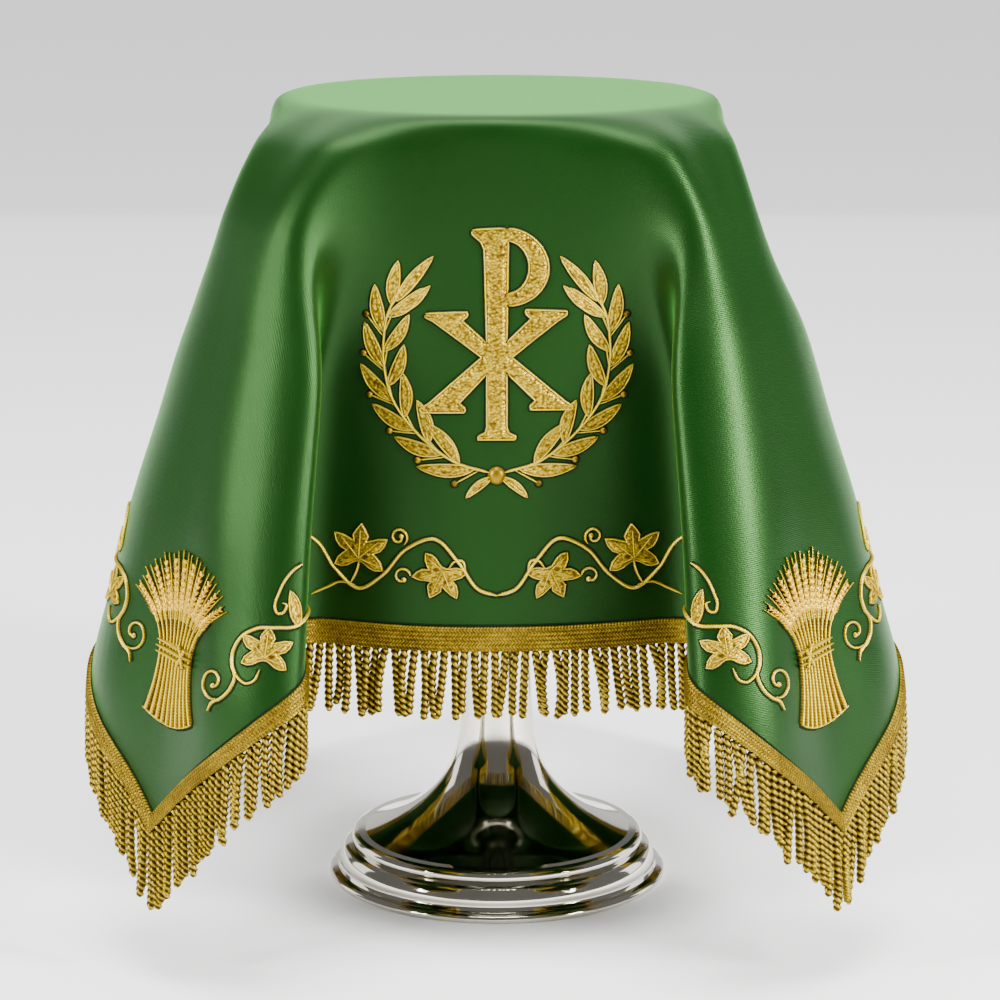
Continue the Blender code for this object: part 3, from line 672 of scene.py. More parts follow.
class Needlework:
    """Embroidery on one side of the cloth. Its hand is 1 for the left half and -1 for the mirrored right."""

    # The dark strips of painted shadow round the gold are a part of their own
    PARTS = ("filling", "cords", "ground", "straw", "ears", "contour")

    def __init__(self, drape, quarter):
        self.drape, self.quarter, self.hand = drape, quarter, 1
        self.piles = {part: Pile() for part in self.PARTS}

    # Places: each turns drawn points into flat ones, and spot gives a function that does

    def on_panel(self, points, way=1.0):
        """Points as (real length right of the side's middle, flat line), mirrored where the way is -1."""
        points = np.asarray(points, float)
        return turned_flat(*self.drape.flat_of(way * points[:, 0], points[:, 1]), self.quarter)

    def on_side(self, points):
        """Points as (real length left of the side's middle, flat line)."""
        return self.on_panel(points, -self.hand)

    def on_corner(self, points):
        """Points as (real length from the sheaf's middle towards this side, flat distance out)."""
        right, out = np.asarray(points, float).T
        across = np.empty(len(out))
        for k, line in enumerate(out):
            arc = between_rows(self.drape.corner_arcs, Drape.CORNER_LINES, line)
            across[k] = np.interp(right[k] + WHEAT_MIDDLE, arc, Drape.CORNER_ACROSS)
        return turned_flat(
            -self.hand * (out - across) * np.sqrt(0.5), -(out + across) * np.sqrt(0.5), self.quarter
        )

    def spot(self, along, line, turn=0.0):
        """A small flat frame at a place: points as (right, up) in real millimetres, turned clockwise."""
        u, v = (float(x[0]) for x in self.on_side([(along, line)]))
        right_way, up_way = (turned_flat(*way, self.quarter) for way in ((1.0, 0.0), (0.0, 1.0)))

        def slope(way):
            steps = np.array((-0.5, 0.5))
            ends = self.drape.place(u + way[0] * steps, v + way[1] * steps)
            return ends[1] - ends[0]

        rightward, upward = slope(right_way), slope(up_way)
        stretch = np.linalg.norm(rightward)
        shear = upward @ rightward / stretch
        rise = np.sqrt(max(upward @ upward - shear**2, 1e-6))

        def place(points):
            x, y = turned(np.asarray(points, float).T, -turn)
            up = y / rise
            right = (self.hand * x - up * shear) / stretch
            return u + right * right_way[0] + up * up_way[0], v + right * right_way[1] + up * up_way[1]

        return place

    # Stitches

    def ribbon(self, part, path, half, heights):
        """A ribbon of thread along flat points: half its width at each, and heights across it."""
        pile = self.piles[part]
        centre = self.drape.place(*path)
        normal = self.drape.place(*path, 1.0) - centre
        sideways = np.cross(normal, unit(np.gradient(centre, axis=0)))
        across = np.linspace(-1.0, 1.0, len(heights))
        wide = np.broadcast_to(half, len(centre))[:, None] * across
        points = centre[:, None] + sideways[:, None] * wide[..., None] + normal[:, None] * heights[:, None]
        # Each ribbon starts elsewhere in its material, so that no two show the same stitches
        along = lengths_along(centre)[:, None] + 7.0 * (pile.count % 97)
        shown = wide if part == "filling" else across
        pile.add_grid(points, np.stack(np.broadcast_arrays(along, shown), -1))

    def cord(self, path, half=0.42, rise=0.6, base=0.12, shade=0.42):
        """A couched cord with a wider dark strip under it, painted shadow round the gold. It thins out at its
        ends, unless they meet.
        """
        u, v = path
        steps = np.arange(len(u))
        ends = np.clip(np.minimum(steps, steps[::-1]) / 1.5, 0.35, 1.0)
        if np.hypot(u[0] - u[-1], v[0] - v[-1]) < 0.2:
            ends = np.ones(len(u))
        self.ribbon("cords", path, half * ends, base + rise * ROUND)
        if shade:
            self.ribbon("contour", path, half + shade, SHADOW_STRIP)

    def mound(self, part, place, points, heights, flats, closed=True):
        """A filled shape over a grid of drawn points, with a height for each point or for each row."""
        rows, columns = points.shape[:2]
        heights = np.broadcast_to(heights, (rows, columns)).ravel()
        placed = self.drape.place(*place(points.reshape(-1, 2)), heights).reshape(rows, columns, 3)
        across = np.cross(placed[2, 0] - placed[1, 0], placed[1, 1] - placed[1, 0])
        faces_cup = across @ (placed[1, 0] * (1.0, 1.0, 0.0)) < 0
        way = -1 if faces_cup else 1
        self.piles[part].add_grid(placed[:, ::way], flats[:, ::way], closed)

    def berry(self, place, centre, radius, rise=1.0):
        """A small round knot of thread."""
        turns = np.arange(12) * np.pi / 6
        rings = np.array((0.02, 0.45, 0.8, 1.0))[:, None]
        circles = radius * rings[..., None] * np.stack([np.cos(turns), np.sin(turns)], -1)
        points = np.asarray(centre) + circles
        self.mound("cords", place, points, 0.1 + rise * np.sqrt(1 - rings**2), 0.05 * points)
        # A dark ring of painted shadow round the knot
        self.ribbon("contour", place([*points[-1], points[-1, 0]]), 0.5, SHADOW_STRIP)

    def leaf(self, place, base, tip, half, bend=0.0):
        """A slim pointed leaf: two filled halves each side of a sunk rib, inside a cord."""
        base, tip = np.asarray(base, float), np.asarray(tip, float)
        t = np.linspace(0.0, 1.0, 13)
        ahead = tip - base
        aside = np.array((-ahead[1], ahead[0])) / np.hypot(*ahead)
        middle = base + ahead * t[:, None] + aside * (bend * np.sin(np.pi * t))[:, None]
        width = half * np.sin(np.pi * t**0.88) ** 0.8
        self.ribbon("filling", place(middle), np.maximum(width - 0.1, 0.02), 0.12 + 0.62 * SUNK_RIB)
        left, right = middle + aside * width[:, None], middle - aside * width[:, None]
        self.cord(place(np.concatenate([left, right[-2::-1]])), half=0.36, rise=0.62, shade=0.45)

    def vine_leaf(self, along, line, size, turn):
        """A lobed vine leaf with raised ribs inside a cord."""
        place = self.spot(along, line, turn)
        half = np.array(VINE_LEAF_OUTLINE)
        outline = np.concatenate([half, half[:0:-1] * (-1, 1)]) * size
        outline = straight_line([*outline, outline[0]], 0.9)
        middle = np.array((0.0, 0.08 * size))
        rings = np.array((0.02, 0.35, 0.65, 0.85, 1.0))
        heights = np.array((0.55, 0.7, 0.75, 0.6, 0.1))
        points = middle + (outline[:-1] - middle) * rings[:, None, None]
        self.mound("filling", place, points, heights[:, None], points + 11.0)
        self.cord(place(outline), half=0.36, rise=0.7, shade=0.5)
        for right, up in VINE_LEAF_RIBS:
            rib = smooth_line([(0.0, -0.1 * size), (right * size, up * size)], 0.9)
            self.cord(place(rib), half=0.28, rise=0.55, base=0.5, shade=0)

    def curl(self, centre, first, last, start, end):
        """A tendril that winds from its first radius to its last, and ends in a knot."""
        place = self.spot(*centre)
        t = np.linspace(0.0, 1.0, 26)
        turn = np.radians(start + (end - start) * t)
        radius = first + (last - first) * t**1.2
        line = np.stack([radius * np.cos(turn), radius * np.sin(turn)], 1)
        self.cord(place(line), half=0.5, rise=0.65)
        self.berry(place, line[-1], 0.85, 0.8)

    def vine(self, shift):
        """The vine of one half of a side, its end moved along the hem and towards it by the shift."""

        def moved(points):
            points = np.asarray(points, float)
            return points + np.outer(smooth_step(points[:, 0], *VINE_END), shift)

        def stem(points, pitch, **sizes):
            self.cord(self.on_side(moved(smooth_line(points, pitch))), **sizes)

        stem(VINE_STEM, 1.2, half=0.68, rise=0.75, shade=0.5)
        for shoot in VINE_SHOOTS:
            stem(shoot, 1.0, half=0.52, rise=0.65)
        stem(VINE_HOOK, 1.0, half=0.55, rise=0.65)
        for along, line, first, last, start, end in VINE_CURLS:
            self.curl(moved([(along, line)])[0], first, last, start, end)
        for along, line, size, turn in VINE_LEAVES:
            self.vine_leaf(*moved([(along, line)])[0], size, turn)
        self.leaf(self.on_side, *moved(VINE_SLIM_LEAF), 1.9)

    def wreath(self):
        """One branch of the laurel wreath, with its tie and berries."""

        def place(points):
            return self.on_panel(points, self.hand)

        def stem_at(part):
            return np.array([np.interp(part, along, stem[:, axis]) for axis in (0, 1)])

        stem = smooth_line(WREATH_STEM, 0.8)
        along = np.linspace(0.0, 1.0, len(stem))
        self.cord(place(stem), half=0.55, rise=0.7)
        for k in range(WREATH_LEAF_PAIRS):
            for start, turn, long, half, bend, stalk_start, stalk_turn, stalk_long, berried in WREATH_LEAVES:
                if k == 0:
                    turn, long = 0.75 * turn, long + 2.5
                at = (k + start) / (WREATH_LEAF_PAIRS + 0.35)
                base = stem_at(at)
                ahead = unit(stem_at(min(at + 0.04, 1)) - base)
                way = turned(ahead, turn)
                self.leaf(place, base + way * 0.6, base + way * long, half, bend)
                root = base + ahead * stalk_start
                end = root + turned(ahead, stalk_turn) * stalk_long
                self.cord(place(smooth_line([root, end], 1.0)), half=0.34, rise=0.6, shade=0.4)
                if berried:
                    self.berry(place, end, 1.1)
        for leaf in (*WREATH_TOP_LEAVES, WREATH_TIE_LEAF):
            self.leaf(place, *leaf)

    def monogram(self):
        """The crossed letters: a padded filling of laid thread inside a cord."""
        (right, line), outer, inner = MONOGRAM_BOWL
        turn = np.linspace(-np.pi / 2, np.pi / 2, 41)
        arcs = [np.stack([right + a * np.cos(turn), line + b * np.sin(turn)], 1) for a, b in (outer, inner)]
        shapes = [np.array(MONOGRAM_STEM), np.array(MONOGRAM_CROSS), np.concatenate([arcs[0], arcs[1][::-1]])]
        edges = []
        for k, shape in enumerate(shapes):
            outline = straight_line([*shape, shape[0]], 0.35)
            others = shapes[:k] + shapes[k + 1 :]
            shown = ~np.any([inside(outline, other) for other in others], axis=0)
            changes = np.flatnonzero(np.diff(np.concatenate([[False], shown, [False]]).astype(int)))
            for start, end in zip(changes[::2], changes[1::2]):
                run = outline[start:end]
                edges.append(run)
                if len(run) > 2:
                    run = run[::2] if len(run) > 6 else run
                    self.cord(self.on_panel(run), half=0.4, rise=0.95, shade=0.55)
        edges = np.concatenate(edges)
        columns, rows = (np.arange(*ends, FILLING_PITCH) for ends in (FILLING_COLUMNS, FILLING_ROWS))
        flat = np.stack(np.meshgrid(columns, rows, indexing="ij"), -1).reshape(-1, 2)
        held = np.any([inside(flat, shape) for shape in shapes], axis=0)
        deep = np.zeros(len(flat))
        for part in np.array_split(np.flatnonzero(held), 20):
            deep[part] = np.min(np.linalg.norm(flat[part][:, None] - edges, axis=-1), axis=1)
        row = flat[:, 1] / STITCH_ROW
        brick = flat[:, 0] / STITCH_LONG + 0.5 * (np.floor(row) % 2)
        stitch = np.sin(2 * np.pi * brick) * np.sin(np.pi * row)
        height = 0.2 + 0.85 * np.sqrt(np.clip(deep / 1.7, 0.0, 1.0)) + 0.09 * stitch * (deep > 0.4)
        number = np.arange(len(flat)).reshape(len(columns), len(rows))
        around = [number[:-1, :-1], number[:-1, 1:], number[1:, 1:], number[1:, :-1]]
        cells = np.stack(around, -1)[np.all([held[part] for part in around], axis=0)]
        used, faces = np.unique(cells, return_inverse=True)
        points = self.drape.place(*self.on_panel(flat[used]), height[used])
        self.piles["filling"].add(points, faces.reshape(cells.shape), flat[used])

    def wheat(self, chance):
        """A sheaf of wheat on the corner fold: ears in a fan, a twisted tie and spread straw ends."""
        place = self.on_corner
        for run, rows, end in ((wheat_stalk, 16, WHEAT_GROUND_END), (wheat_straw, 12, 0.99)):
            part, k = np.meshgrid(np.linspace(0.0, end, rows), np.linspace(-0.95, 0.95, 21), indexing="ij")
            points = run(k, part)
            edge = np.minimum(1.0, 6.0 * (1.0 - np.abs(k))) * np.minimum(1.0, 12.0 * (end - part) + 0.3)
            # The ground is painted shade: a dark layer where the gaps between the straws and stalks would
            # fall in shade
            self.mound("ground", place, points, 0.05 + 0.25 * edge, points, closed=False)
            for side in (-1.0, 1.0):
                # Dark strips of painted shadow along the sheaf's two sides
                self.ribbon("contour", place(run(side, np.linspace(0.0, end, 10))), 0.8, SHADOW_STRIP)
        part = np.linspace(0.0, 1.0, 16)
        half = 0.36 * np.clip((1.0 - part) / 0.2, 0.25, 1.0)
        for k in np.linspace(-0.98, 0.98, WHEAT_STRAWS):
            k = k + 0.008 * chance.standard_normal()
            grow = 1.0 + 0.015 * chance.standard_normal()
            self.ribbon("straw", place(wheat_stalk(k, 0.4 + (grow - 0.4) * part)), half, 0.15 + 0.7 * ROUND)
        for k in np.linspace(-0.93, 0.93, WHEAT_EARS):
            self.ear(k)
        for k in np.linspace(-0.93, 0.93, WHEAT_ENDS):
            line = wheat_straw(k, np.linspace(0.0, 1.0, 9))
            self.ribbon("straw", place(line), np.linspace(0.62, 0.98, 9), 0.15 + 1.1 * ROUND)
        self.cord(place(wheat_straw(np.linspace(-1.0, 1.0, 20), 1.0)), half=0.4, rise=0.9, shade=0.6)
        across = np.linspace(-1.12, 1.12, 16)
        half = 0.9 * np.sqrt(np.clip(1.25 - across**2, 0.1, 1.0))
        for below, lift in WHEAT_TIE_CORDS:
            sag = WHEAT_TIE + 0.2 + 1.9 * below + 0.7 * (1 - across**2) + 0.5 * across
            line = np.stack([WHEAT_NECK * across + 0.6, sag], 1)
            self.ribbon("straw", place(line), half, 0.8 + lift + 1.1 * ROUND)
        for slant in (-1.0, 1.0):
            ends = [(3.0, WHEAT_TIE - 3.2 * slant + 0.8), (6.6, WHEAT_TIE + 3.0 * slant + 1.2)]
            self.ribbon("straw", place(smooth_line(ends, 0.8)), 0.7, 1.8 + 0.8 * ROUND)

    def ear(self, k):
        """One ear on its stalk: pairs of grains that shrink towards its tip."""
        stalk = wheat_stalk(k, np.linspace(0.0, 0.94, 16))
        self.ribbon("straw", self.on_corner(stalk), np.linspace(0.66, 0.4, 16), 0.3 + 0.95 * ROUND)
        t = np.linspace(0.0, 1.0, 6)
        full = np.sin(np.pi * (0.12 + 0.86 * t)) ** 0.7
        for at, long in zip(np.linspace(0.48, 0.90, 8), np.linspace(3.2, 1.8, 8)):
            here, there = wheat_stalk(k, (at, at + 0.05))
            for turn in (-25.0, 25.0):
                line = here + turned(unit(there - here), turn) * (long * t)[:, None]
                self.ribbon("ears", self.on_corner(line), 0.17 * long * full, 0.5 + 0.85 * ROUND[::2])


def make_embroidery(drape, quarter, materials):
    """The embroidery of one side: its vine, the sheaves at its ends, and on the front the emblem."""
    work = Needlework(drape, quarter)
    chance = np.random.default_rng(WHEAT_SEED + quarter)
    for hand in (1, -1):
        work.hand = hand
        work.vine(VINE_END_SHIFTS[quarter])
        if quarter % 2 == 0:
            work.wheat(chance)
        if quarter == 0:
            work.wreath()
    if quarter == 0:
        work.monogram()
        work.berry(work.on_panel, (0.0, 184.0), 2.9, 1.6)
    # A dark strip of painted shadow beside the braid
    work.ribbon("contour", line_along_side(HALF_SIDE - BRAID_WIDE - GAP, BRAID_STEPS, quarter), 0.5, BRAID_SHADOW_STRIP)
    pieces = []
    for part, pile in work.piles.items():
        if pile.count:
            slot = "green_satin" if part == "contour" else "gold_braid"
            pieces.append(pile.piece(f"embroidery_{SIDES[quarter]}_{part}", materials[part], slot))
    return pieces


class Shader:
    """A Principled material whose nodes are added by short calls."""

    def __init__(self, name, **values):
        self.material = bpy.data.materials.new(name)
        self.material.use_nodes = True
        self.tree = self.material.node_tree
        self.main = self.tree.nodes["Principled BSDF"]
        for key, value in values.items():
            self.main.inputs[key.replace("_", " ")].default_value = value

    def node(self, kind, inputs=(), **settings):
        made = self.tree.nodes.new("ShaderNode" + kind)
        for key, value in settings.items():
            setattr(made, key, value)
        for key, value in dict(inputs).items():
            if isinstance(value, bpy.types.NodeSocket):
                self.tree.links.new(value, made.inputs[key])
            else:
                made.inputs[key].default_value = value
        return made

    def link(self, socket, name):
        self.tree.links.new(socket, self.main.inputs[name])

    def place(self, scale=(1.0, 1.0, 1.0), turn=0.0):
        """The flat coordinates, scaled and turned."""
        uv = self.node("UVMap", uv_map="flat")
        inputs = {"Vector": uv.outputs["UV"], "Scale": scale, "Rotation": (0.0, 0.0, turn)}
        return self.node("Mapping", inputs).outputs["Vector"]

    def along_and_across(self):
        parts = self.node("SeparateXYZ", {"Vector": self.place()}).outputs
        return parts["X"], parts["Y"]

    def noise(self, vector, scale, detail, roughness=0.5):
        inputs = {"Vector": vector, "Scale": scale, "Detail": detail, "Roughness": roughness}
        return self.node("TexNoise", inputs).outputs["Fac"]

    def bands(self, turn, scale, distortion, detail):
        inputs = {"Vector": self.place(turn=turn), "Scale": scale, "Distortion": distortion, "Detail": detail}
        return self.node("TexWave", inputs, wave_type="BANDS").outputs["Fac"]

    def mix(self, share, a, b):
        return self.node("Mix", {"Factor": share, "A": a, "B": b}).outputs["Result"]

    def math(self, operation, *values):
        return self.node("Math", enumerate(values), operation=operation).outputs[0]

    def spread(self, value, start, end, low, high):
        """The value from start to end, spread over low to high."""
        inputs = {"Value": value, "From Min": start, "From Max": end, "To Min": low, "To Max": high}
        return self.node("MapRange", inputs).outputs["Result"]

    def colour(self, factor, *stops):
        """The base colour from a ramp of (place, colour)."""
        made = self.node("ValToRGB", {"Fac": factor})
        elements = made.color_ramp.elements
        while len(elements) < len(stops):
            elements.new(0.5)
        for element, (place, colour) in zip(elements, stops):
            element.position = place
            element.color = (*colour, 1.0)
        self.link(made.outputs["Color"], "Base Color")

    def bump(self, *layers):
        """Raised relief in layers of (height, distance, strength), each on the one before."""
        normal = {}
        for height, distance, strength in layers:
            made = self.node("Bump", {"Height": height, "Distance": distance, "Strength": strength, **normal})
            normal = {"Normal": made.outputs["Normal"]}
        self.link(normal["Normal"], "Normal")


def satin_material():
    """Green silk satin: a fine slanting twill, a broad soft sheen and a slight unevenness of tone."""
    shader = Shader(
        "green_satin",
        Roughness=0.35,
        IOR=1.5,
        Sheen_Weight=0.4,
        Sheen_Roughness=0.35,
        Sheen_Tint=(0.22, 0.85, 0.15, 1.0),
        Specular_IOR_Level=0.34,
        Specular_Tint=(0.42, 1.0, 0.30, 1.0),
    )
    tone = shader.noise(shader.place(), 14.0, 3.0)
    grain = shader.noise(shader.place(), 1400.0, 2.0)
    shader.colour(shader.mix(0.35, tone, grain), *SATIN_TONES)
    twill = shader.bands(turn=0.8, scale=520.0, distortion=1.2, detail=1.0)
    shader.bump((twill, 0.00008, 0.35), (grain, 0.0001, 0.4))
    return shader.material


def painted_shadow_material():
    """The dark green strips of painted shadow round the gold and beside the braid."""
    shader = Shader("painted_shadow_strip", Roughness=0.9, Specular_IOR_Level=0.1)
    grain = shader.noise(shader.place(), 1200.0, 2.0)
    shader.colour(grain, (0.3, (0.0008, 0.006, 0.0008)), (0.7, (0.002, 0.013, 0.002)))
    return shader.material


def gold_material(name, pattern, tones, wear):
    """Metal thread whose colour follows its relief: painted highlight where it stands up and brown painted
    shade where it lies deep, with a share of uneven wear.
    """
    shader = Shader(name, Roughness=0.4, Metallic=0.8, Specular_Tint=(1.0, 0.82, 0.40, 1.0))
    mottle = shader.noise(shader.place(), 650.0, 3.0, 0.6)
    broad = shader.noise(shader.place(), 90.0, 2.0)
    mixed = shader.mix(wear, pattern(shader), shader.mix(0.4, mottle, broad))
    # The ramp is painted shade in the pattern's low parts and painted highlight on its high parts; the mottle
    # mixed into it is uneven wear
    shader.colour(mixed, *zip(GOLD_PLACES, tones))
    shader.bump((mixed, 0.0004, 0.8))
    return shader.material


def plied(shader):
    """The two plies of a fringe strand, along the same twist as its mesh."""
    along, across = shader.along_and_across()
    phase = shader.math("MULTIPLY", shader.math("MULTIPLY_ADD", across, -STRAND_TWIST, along), 2 / MM)
    return shader.math("MULTIPLY_ADD", shader.math("COSINE", phase), 0.45, 0.5)


def thread_with_painted_shade(shader):
    """A thread with a painted highlight along its middle and painted shade at its sides, with faint plies."""
    side = shader.math("ABSOLUTE", shader.along_and_across()[1])
    # Painted highlight along the middle, fading to painted shade at the sides
    bright = shader.spread(side, 0.35 * MM, 1.0 * MM, 0.8, 0.05)
    return shader.mix(0.22, bright, shader.bands(turn=0.5, scale=380.0, distortion=1.0, detail=2.0))


def seeded(size):
    """Small close stitches of a size in millimetres, longer along the thread."""

    def pattern(shader):
        inputs = {"Vector": shader.place(scale=(0.7, 1.0, 1.0), turn=0.5), "Scale": 1.0 / (size * MM)}
        return shader.spread(shader.node("TexVoronoi", inputs).outputs["Distance"], 0.0, 0.9, 1.0, 0.1)

    return pattern


def plaited(shader):
    """Rows of stitches along a braid that slant one way and then the other."""
    along, across = shader.along_and_across()
    row = shader.math("PINGPONG", across, 1.33 * MM)
    phase = shader.math("MULTIPLY", shader.math("MULTIPLY_ADD", row, 0.9, along), 2 * np.pi / (1.05 * MM))
    return shader.math("MULTIPLY_ADD", shader.math("SINE", phase), 0.5, 0.5)


def silver_material():
    """Polished silver with faint turning marks and a slight warm tarnish."""
    shader = Shader("silver", Roughness=0.07, Metallic=1.0)
    place = shader.node("TexCoord").outputs["Object"]
    shader.colour(shader.noise(place, 30.0, 4.0), (0.3, (0.62, 0.58, 0.48)), (0.7, (0.78, 0.75, 0.66)))
    shader.link(shader.spread(shader.noise(place, 160.0, 3.0), 0.0, 1.0, 0.04, 0.13), "Roughness")
    return shader.material


def main_materials():
    return {
        "satin": satin_material(),
        "braid": gold_material("gold_braid", plaited, GOLD_MID, 0.78),
        "bullion": gold_material("gold_bullion", plied, GOLD_MID, 0.4),
        "filling": gold_material("gold_filling", seeded(0.65), GOLD_RICH, 0.45),
        "cords": gold_material("gold_cord", thread_with_painted_shade, GOLD_PALE, 0.45),
        "straw": gold_material("gold_straw", thread_with_painted_shade, GOLD_RICH, 0.3),
        "ears": gold_material("gold_ear", thread_with_painted_shade, GOLD_WARM, 0.35),
        "ground": gold_material("gold_painted_shade_ground", seeded(1.0), GOLD_SHADE, 0.5),
        "contour": painted_shadow_material(),
        "silver": silver_material(),
    }


def make_cloth(drape, material):
    """The cloth: both faces and the hem's edge, on fine rings from the middle to the hem."""
    pairs = zip(CLOTH_TURNS, CLOTH_TURNS[1:])
    eighth = np.concatenate([np.linspace(a, b, steps, endpoint=False) for (a, steps), (b, _) in pairs])
    quarter = np.concatenate([eighth, 90.0 - np.append(eighth[1:], EIGHTH)[::-1]])
    angles = np.radians(np.concatenate([quarter + 90.0 * k for k in range(4)]))
    hem = HALF_SIDE / np.cos((angles + np.pi / 4) % (np.pi / 2) - np.pi / 4)
    to_hem = np.linspace(0.0, 1.0, RINGS)[:, None]
    top = np.outer(TOP_RINGS, np.ones_like(angles))
    distance = np.concatenate([top, FIRST_RING + (hem - FIRST_RING) * to_hem])
    u, v = distance * np.sin(angles), -distance * np.cos(angles)
    edge = drape.place(*(x[-1:] * HEM_BULGE for x in (u, v)), -CLOTH_THICK / 2)
    rings = np.concatenate([drape.place(u, v), edge, drape.place(u, v, -CLOTH_THICK)[::-1]])
    pile = Pile()
    pile.add_grid(rings, np.stack([np.concatenate([x, x[-1:], x[::-1]]) for x in (u, v)], -1), closed=True)
    count = len(angles)
    last, middle = (len(rings) - 1) * count, pile.count
    pile.add([(0.0, 0.0, TOP_Z), (0.0, 0.0, TOP_Z - CLOTH_THICK)], np.empty((0, 3), int), [(0, 0), (0, 0)])
    for k in range(count):
        after = (k + 1) % count
        pile.faces.append([middle, k, after])
        pile.faces.append([middle + 1, last + after, last + k])
    return pile.piece("veil_cloth", material, "green_satin", "veil")


def make_braid(drape, quarter, material):
    """A woven braid along one side: raised rows between two corded edges, mitred at the corners."""
    across = np.linspace(0.0, 1.0, 25)
    rows = 0.25 * np.abs(np.sin(np.pi * BRAID_ROWS * across)) + 0.15
    # Its edges are turned down to the cloth
    rows[0] = rows[-1] = -0.9
    line = HALF_SIDE - BRAID_WIDE + BRAID_WIDE * across
    points = drape.place(*line_along_side(line, BRAID_STEPS, quarter), GAP + BRAID_THICK - 0.4 + rows)
    along = lengths_along(points[:, -1])[:, None]
    flats = np.stack(np.broadcast_arrays(along, line), -1)
    pile = Pile()
    pile.add_grid(points[:, ::-1], flats[:, ::-1])
    node = f"braid_{SIDES[quarter]}"
    return pile.piece(node + "_weave", material, "gold_braid", node)


def make_fringe(drape, quarter, material):
    """Bullion along one side's hem: twisted strands that hang in slightly uneven lengths."""
    chance = np.random.default_rng(FRINGE_SEED + quarter)
    hem_flat = line_along_side(HALF_SIDE, HEM_STEPS, quarter)
    above_flat = line_along_side(HALF_SIDE - BRAID_WIDE, HEM_STEPS, quarter)
    hem = drape.place(*hem_flat, -0.2)
    along = lengths_along(hem)
    count = int(along[-1] / STRAND_PITCH)
    marks = (np.arange(count) + 0.5) * along[-1] / count

    def at_marks(values):
        return np.stack([np.interp(marks, along, values[:, axis]) for axis in range(3)], 1)

    roots = at_marks(hem)
    down = unit(at_marks(hem - drape.place(*above_flat, -0.2)))
    out = unit(at_marks(drape.place(*hem_flat, 1.0) - drape.place(*hem_flat)))
    corner = np.abs(2 * marks / along[-1] - 1)
    longs = STRAND_LONG + (STRAND_LONG_AT_CORNER - STRAND_LONG) * smooth_step(corner, 0.6, 1.0)
    uneven_long, uneven_way, uneven_curl = STRAND_UNEVEN
    longs = longs * (1 + uneven_long * chance.standard_normal(count))
    fall = np.array([0.0, 0.0, -1.0])
    side_way = unit(np.cross(out, fall))
    lean = side_way * uneven_way * chance.standard_normal((count, 1))
    ways = unit(STRAND_LEAN * down + (1 - STRAND_LEAN) * fall + lean)
    curl = uneven_curl * chance.standard_normal((count, 2))
    t = np.linspace(0.0, 1.0, STRAND_ROWS)[:, None]
    tip = np.sqrt(np.clip(1 - ((t - STRAND_TIP[0]) / STRAND_TIP[1]).clip(0, 1) ** 2, 0.02, 1))
    phase = (np.arange(STRAND_RING) + 0.5) * 2 * np.pi / STRAND_RING - np.pi / 2
    turn = np.broadcast_to(phase, (STRAND_ROWS, STRAND_RING))
    pile = Pile()
    for k in range(count):
        bend = np.sin(np.pi * t) * (side_way[k] * curl[k, 0] + out[k] * curl[k, 1] * 0.5)
        path = roots[k] + down[k] * STRAND_START * (1 - (1 - t) ** 3) + ways[k] * longs[k] * t + bend
        path += out[k] * STRAND_STAGGER * (k % 2)
        first = unit(np.cross(ways[k], out[k]))
        second = np.cross(first, ways[k])
        twist = STRAND_TWIST * longs[k] * t + k
        radius = STRAND_RADIUS * (1 + STRAND_PLY_DEPTH * np.cos(2 * (turn - twist))) * tip
        right, away = (radius * np.cos(turn))[..., None], (radius * np.sin(turn))[..., None]
        points = path[:, None] + right * first + away * second
        pile.add_grid(points, np.stack(np.broadcast_arrays(turn - k, longs[k] * t), -1), closed=True)
    node = f"fringe_{SIDES[quarter]}"
    return pile.piece(node + "_strands", material, "gold_bullion", node)


def make_foot(material):
    """The chalice's foot and stem, turned from a fine profile with crisp steps."""
    turn = np.arange(FOOT_STEPS) * 2 * np.pi / FOOT_STEPS
    sharp = [k for k, row in enumerate(FOOT_PROFILE) if row[2]]
    pile = Pile()
    for start, end in zip(sharp, sharp[1:]):
        run = np.array(FOOT_PROFILE)[start : end + 1, :2]
        if len(run) > 2:
            along = lengths_along(run)
            fine = np.linspace(0.0, along[-1], 3 * len(run))
            run = np.stack([smooth_curve(along, run[:, axis], fine) for axis in (0, 1)], 1)
        radius, height = np.maximum(run[:, 0], 0.01), np.outer(run[:, 1], np.ones(FOOT_STEPS))
        points = np.stack([np.outer(radius, np.cos(turn)), np.outer(radius, np.sin(turn)), height], -1)
        flats = np.stack([np.outer(radius, turn), height], -1)
        pile.add_grid(points[:, ::-1], flats[:, ::-1], closed=True)
    pile.piece("chalice_foot_turned", material, "silver", "chalice_foot")


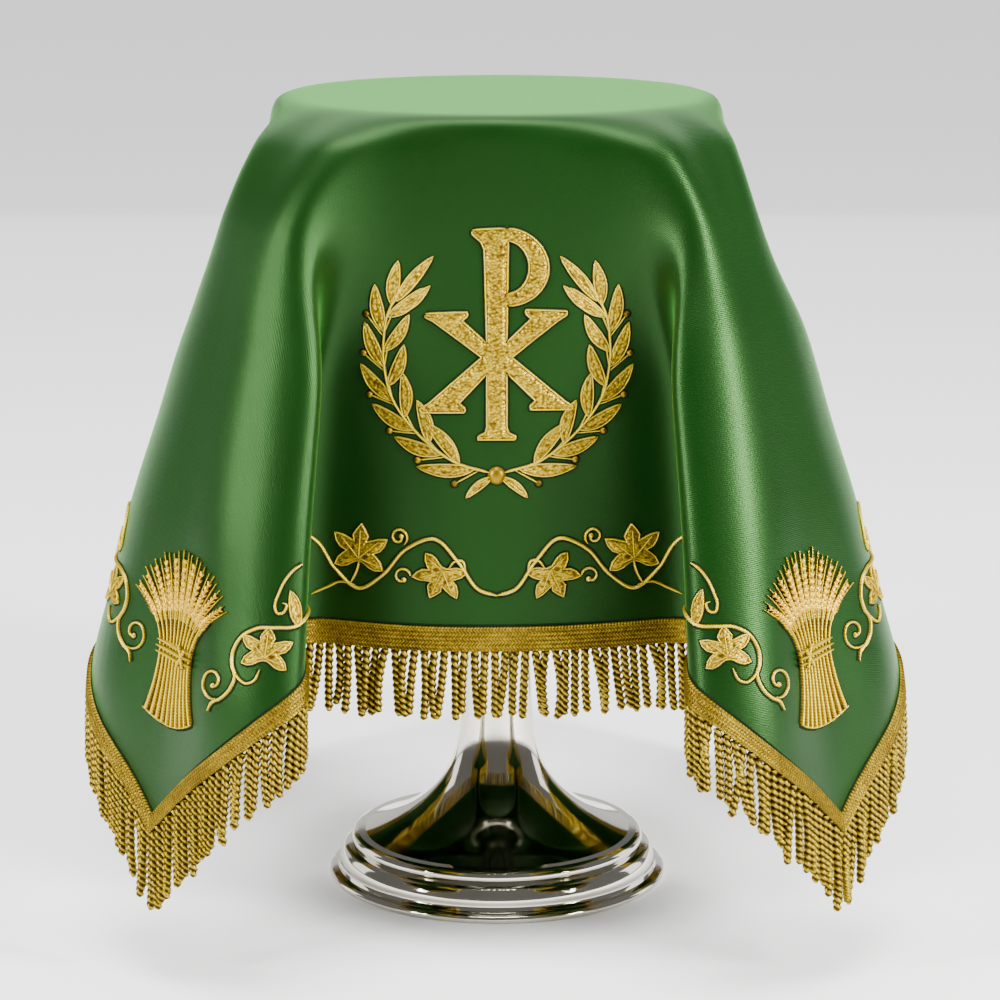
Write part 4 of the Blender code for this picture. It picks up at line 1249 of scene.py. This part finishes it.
def make_stage():
    """A plain pale floor, a pale sky and soft lights."""
    mesh = bpy.data.meshes.new("floor")
    mesh.from_pydata([(-6, -6, 0), (6, -6, 0), (6, 6, 0), (-6, 6, 0)], [], [(0, 1, 2, 3)])
    mesh.materials.append(Shader("floor", Base_Color=FLOOR_TONE, Roughness=0.7).material)
    put_in_scene("floor", mesh)
    world = bpy.data.worlds.new("sky")
    world.use_nodes = True
    sky = world.node_tree.nodes["Background"].inputs
    sky["Color"].default_value = (1.0, 1.0, 1.0, 1.0)
    sky["Strength"].default_value = SKY_STRENGTH
    bpy.context.scene.world = world
    for name, place, size, power in LIGHTS:
        light = bpy.data.lights.new(name, "AREA")
        light.shape = "RECTANGLE"
        light.size, light.size_y = size
        light.energy = power
        lamp = put_in_scene(name, light)
        lamp.location = place
        x, y, z = np.array(LIGHTS_AIM) - np.array(place)
        lamp.rotation_euler = (np.arctan2(np.hypot(x, y), -z), 0.0, np.arctan2(y, x) - np.pi / 2)
        lamp.visible_camera = False
    sun = put_in_scene("sun", bpy.data.lights.new("sun", "SUN"))
    sun.data.energy = SUN_STRENGTH
    sun.data.angle = np.radians(SUN_SOFTNESS)
    sun.rotation_euler = (np.radians(SUN_TILT), 0.0, 0.0)


def make_camera():
    data = bpy.data.cameras.new("camera")
    data.lens = CAMERA_LENS
    data.sensor_width = 36.0
    data.sensor_fit = "HORIZONTAL"
    camera = put_in_scene("camera", data)
    camera.location = [x * MM for x in CAMERA_PLACE]
    camera.rotation_euler = (np.radians(90.0 - CAMERA_PITCH), 0.0, 0.0)
    bpy.context.scene.camera = camera


def main():
    materials = main_materials()
    drape = Drape()
    make_stage()
    make_camera()
    cloth = make_cloth(drape, materials["satin"])
    trims = []
    for quarter in range(4):
        trims.append(make_braid(drape, quarter, materials["braid"]))
        trims.append(make_fringe(drape, quarter, materials["bullion"]))
        trims += make_embroidery(drape, quarter, materials)
    make_foot(materials["silver"])
    for node in ("chalice_knop", "chalice_cup", "paten"):
        bpy.data.objects[node].data.materials[0] = materials["silver"]


main()
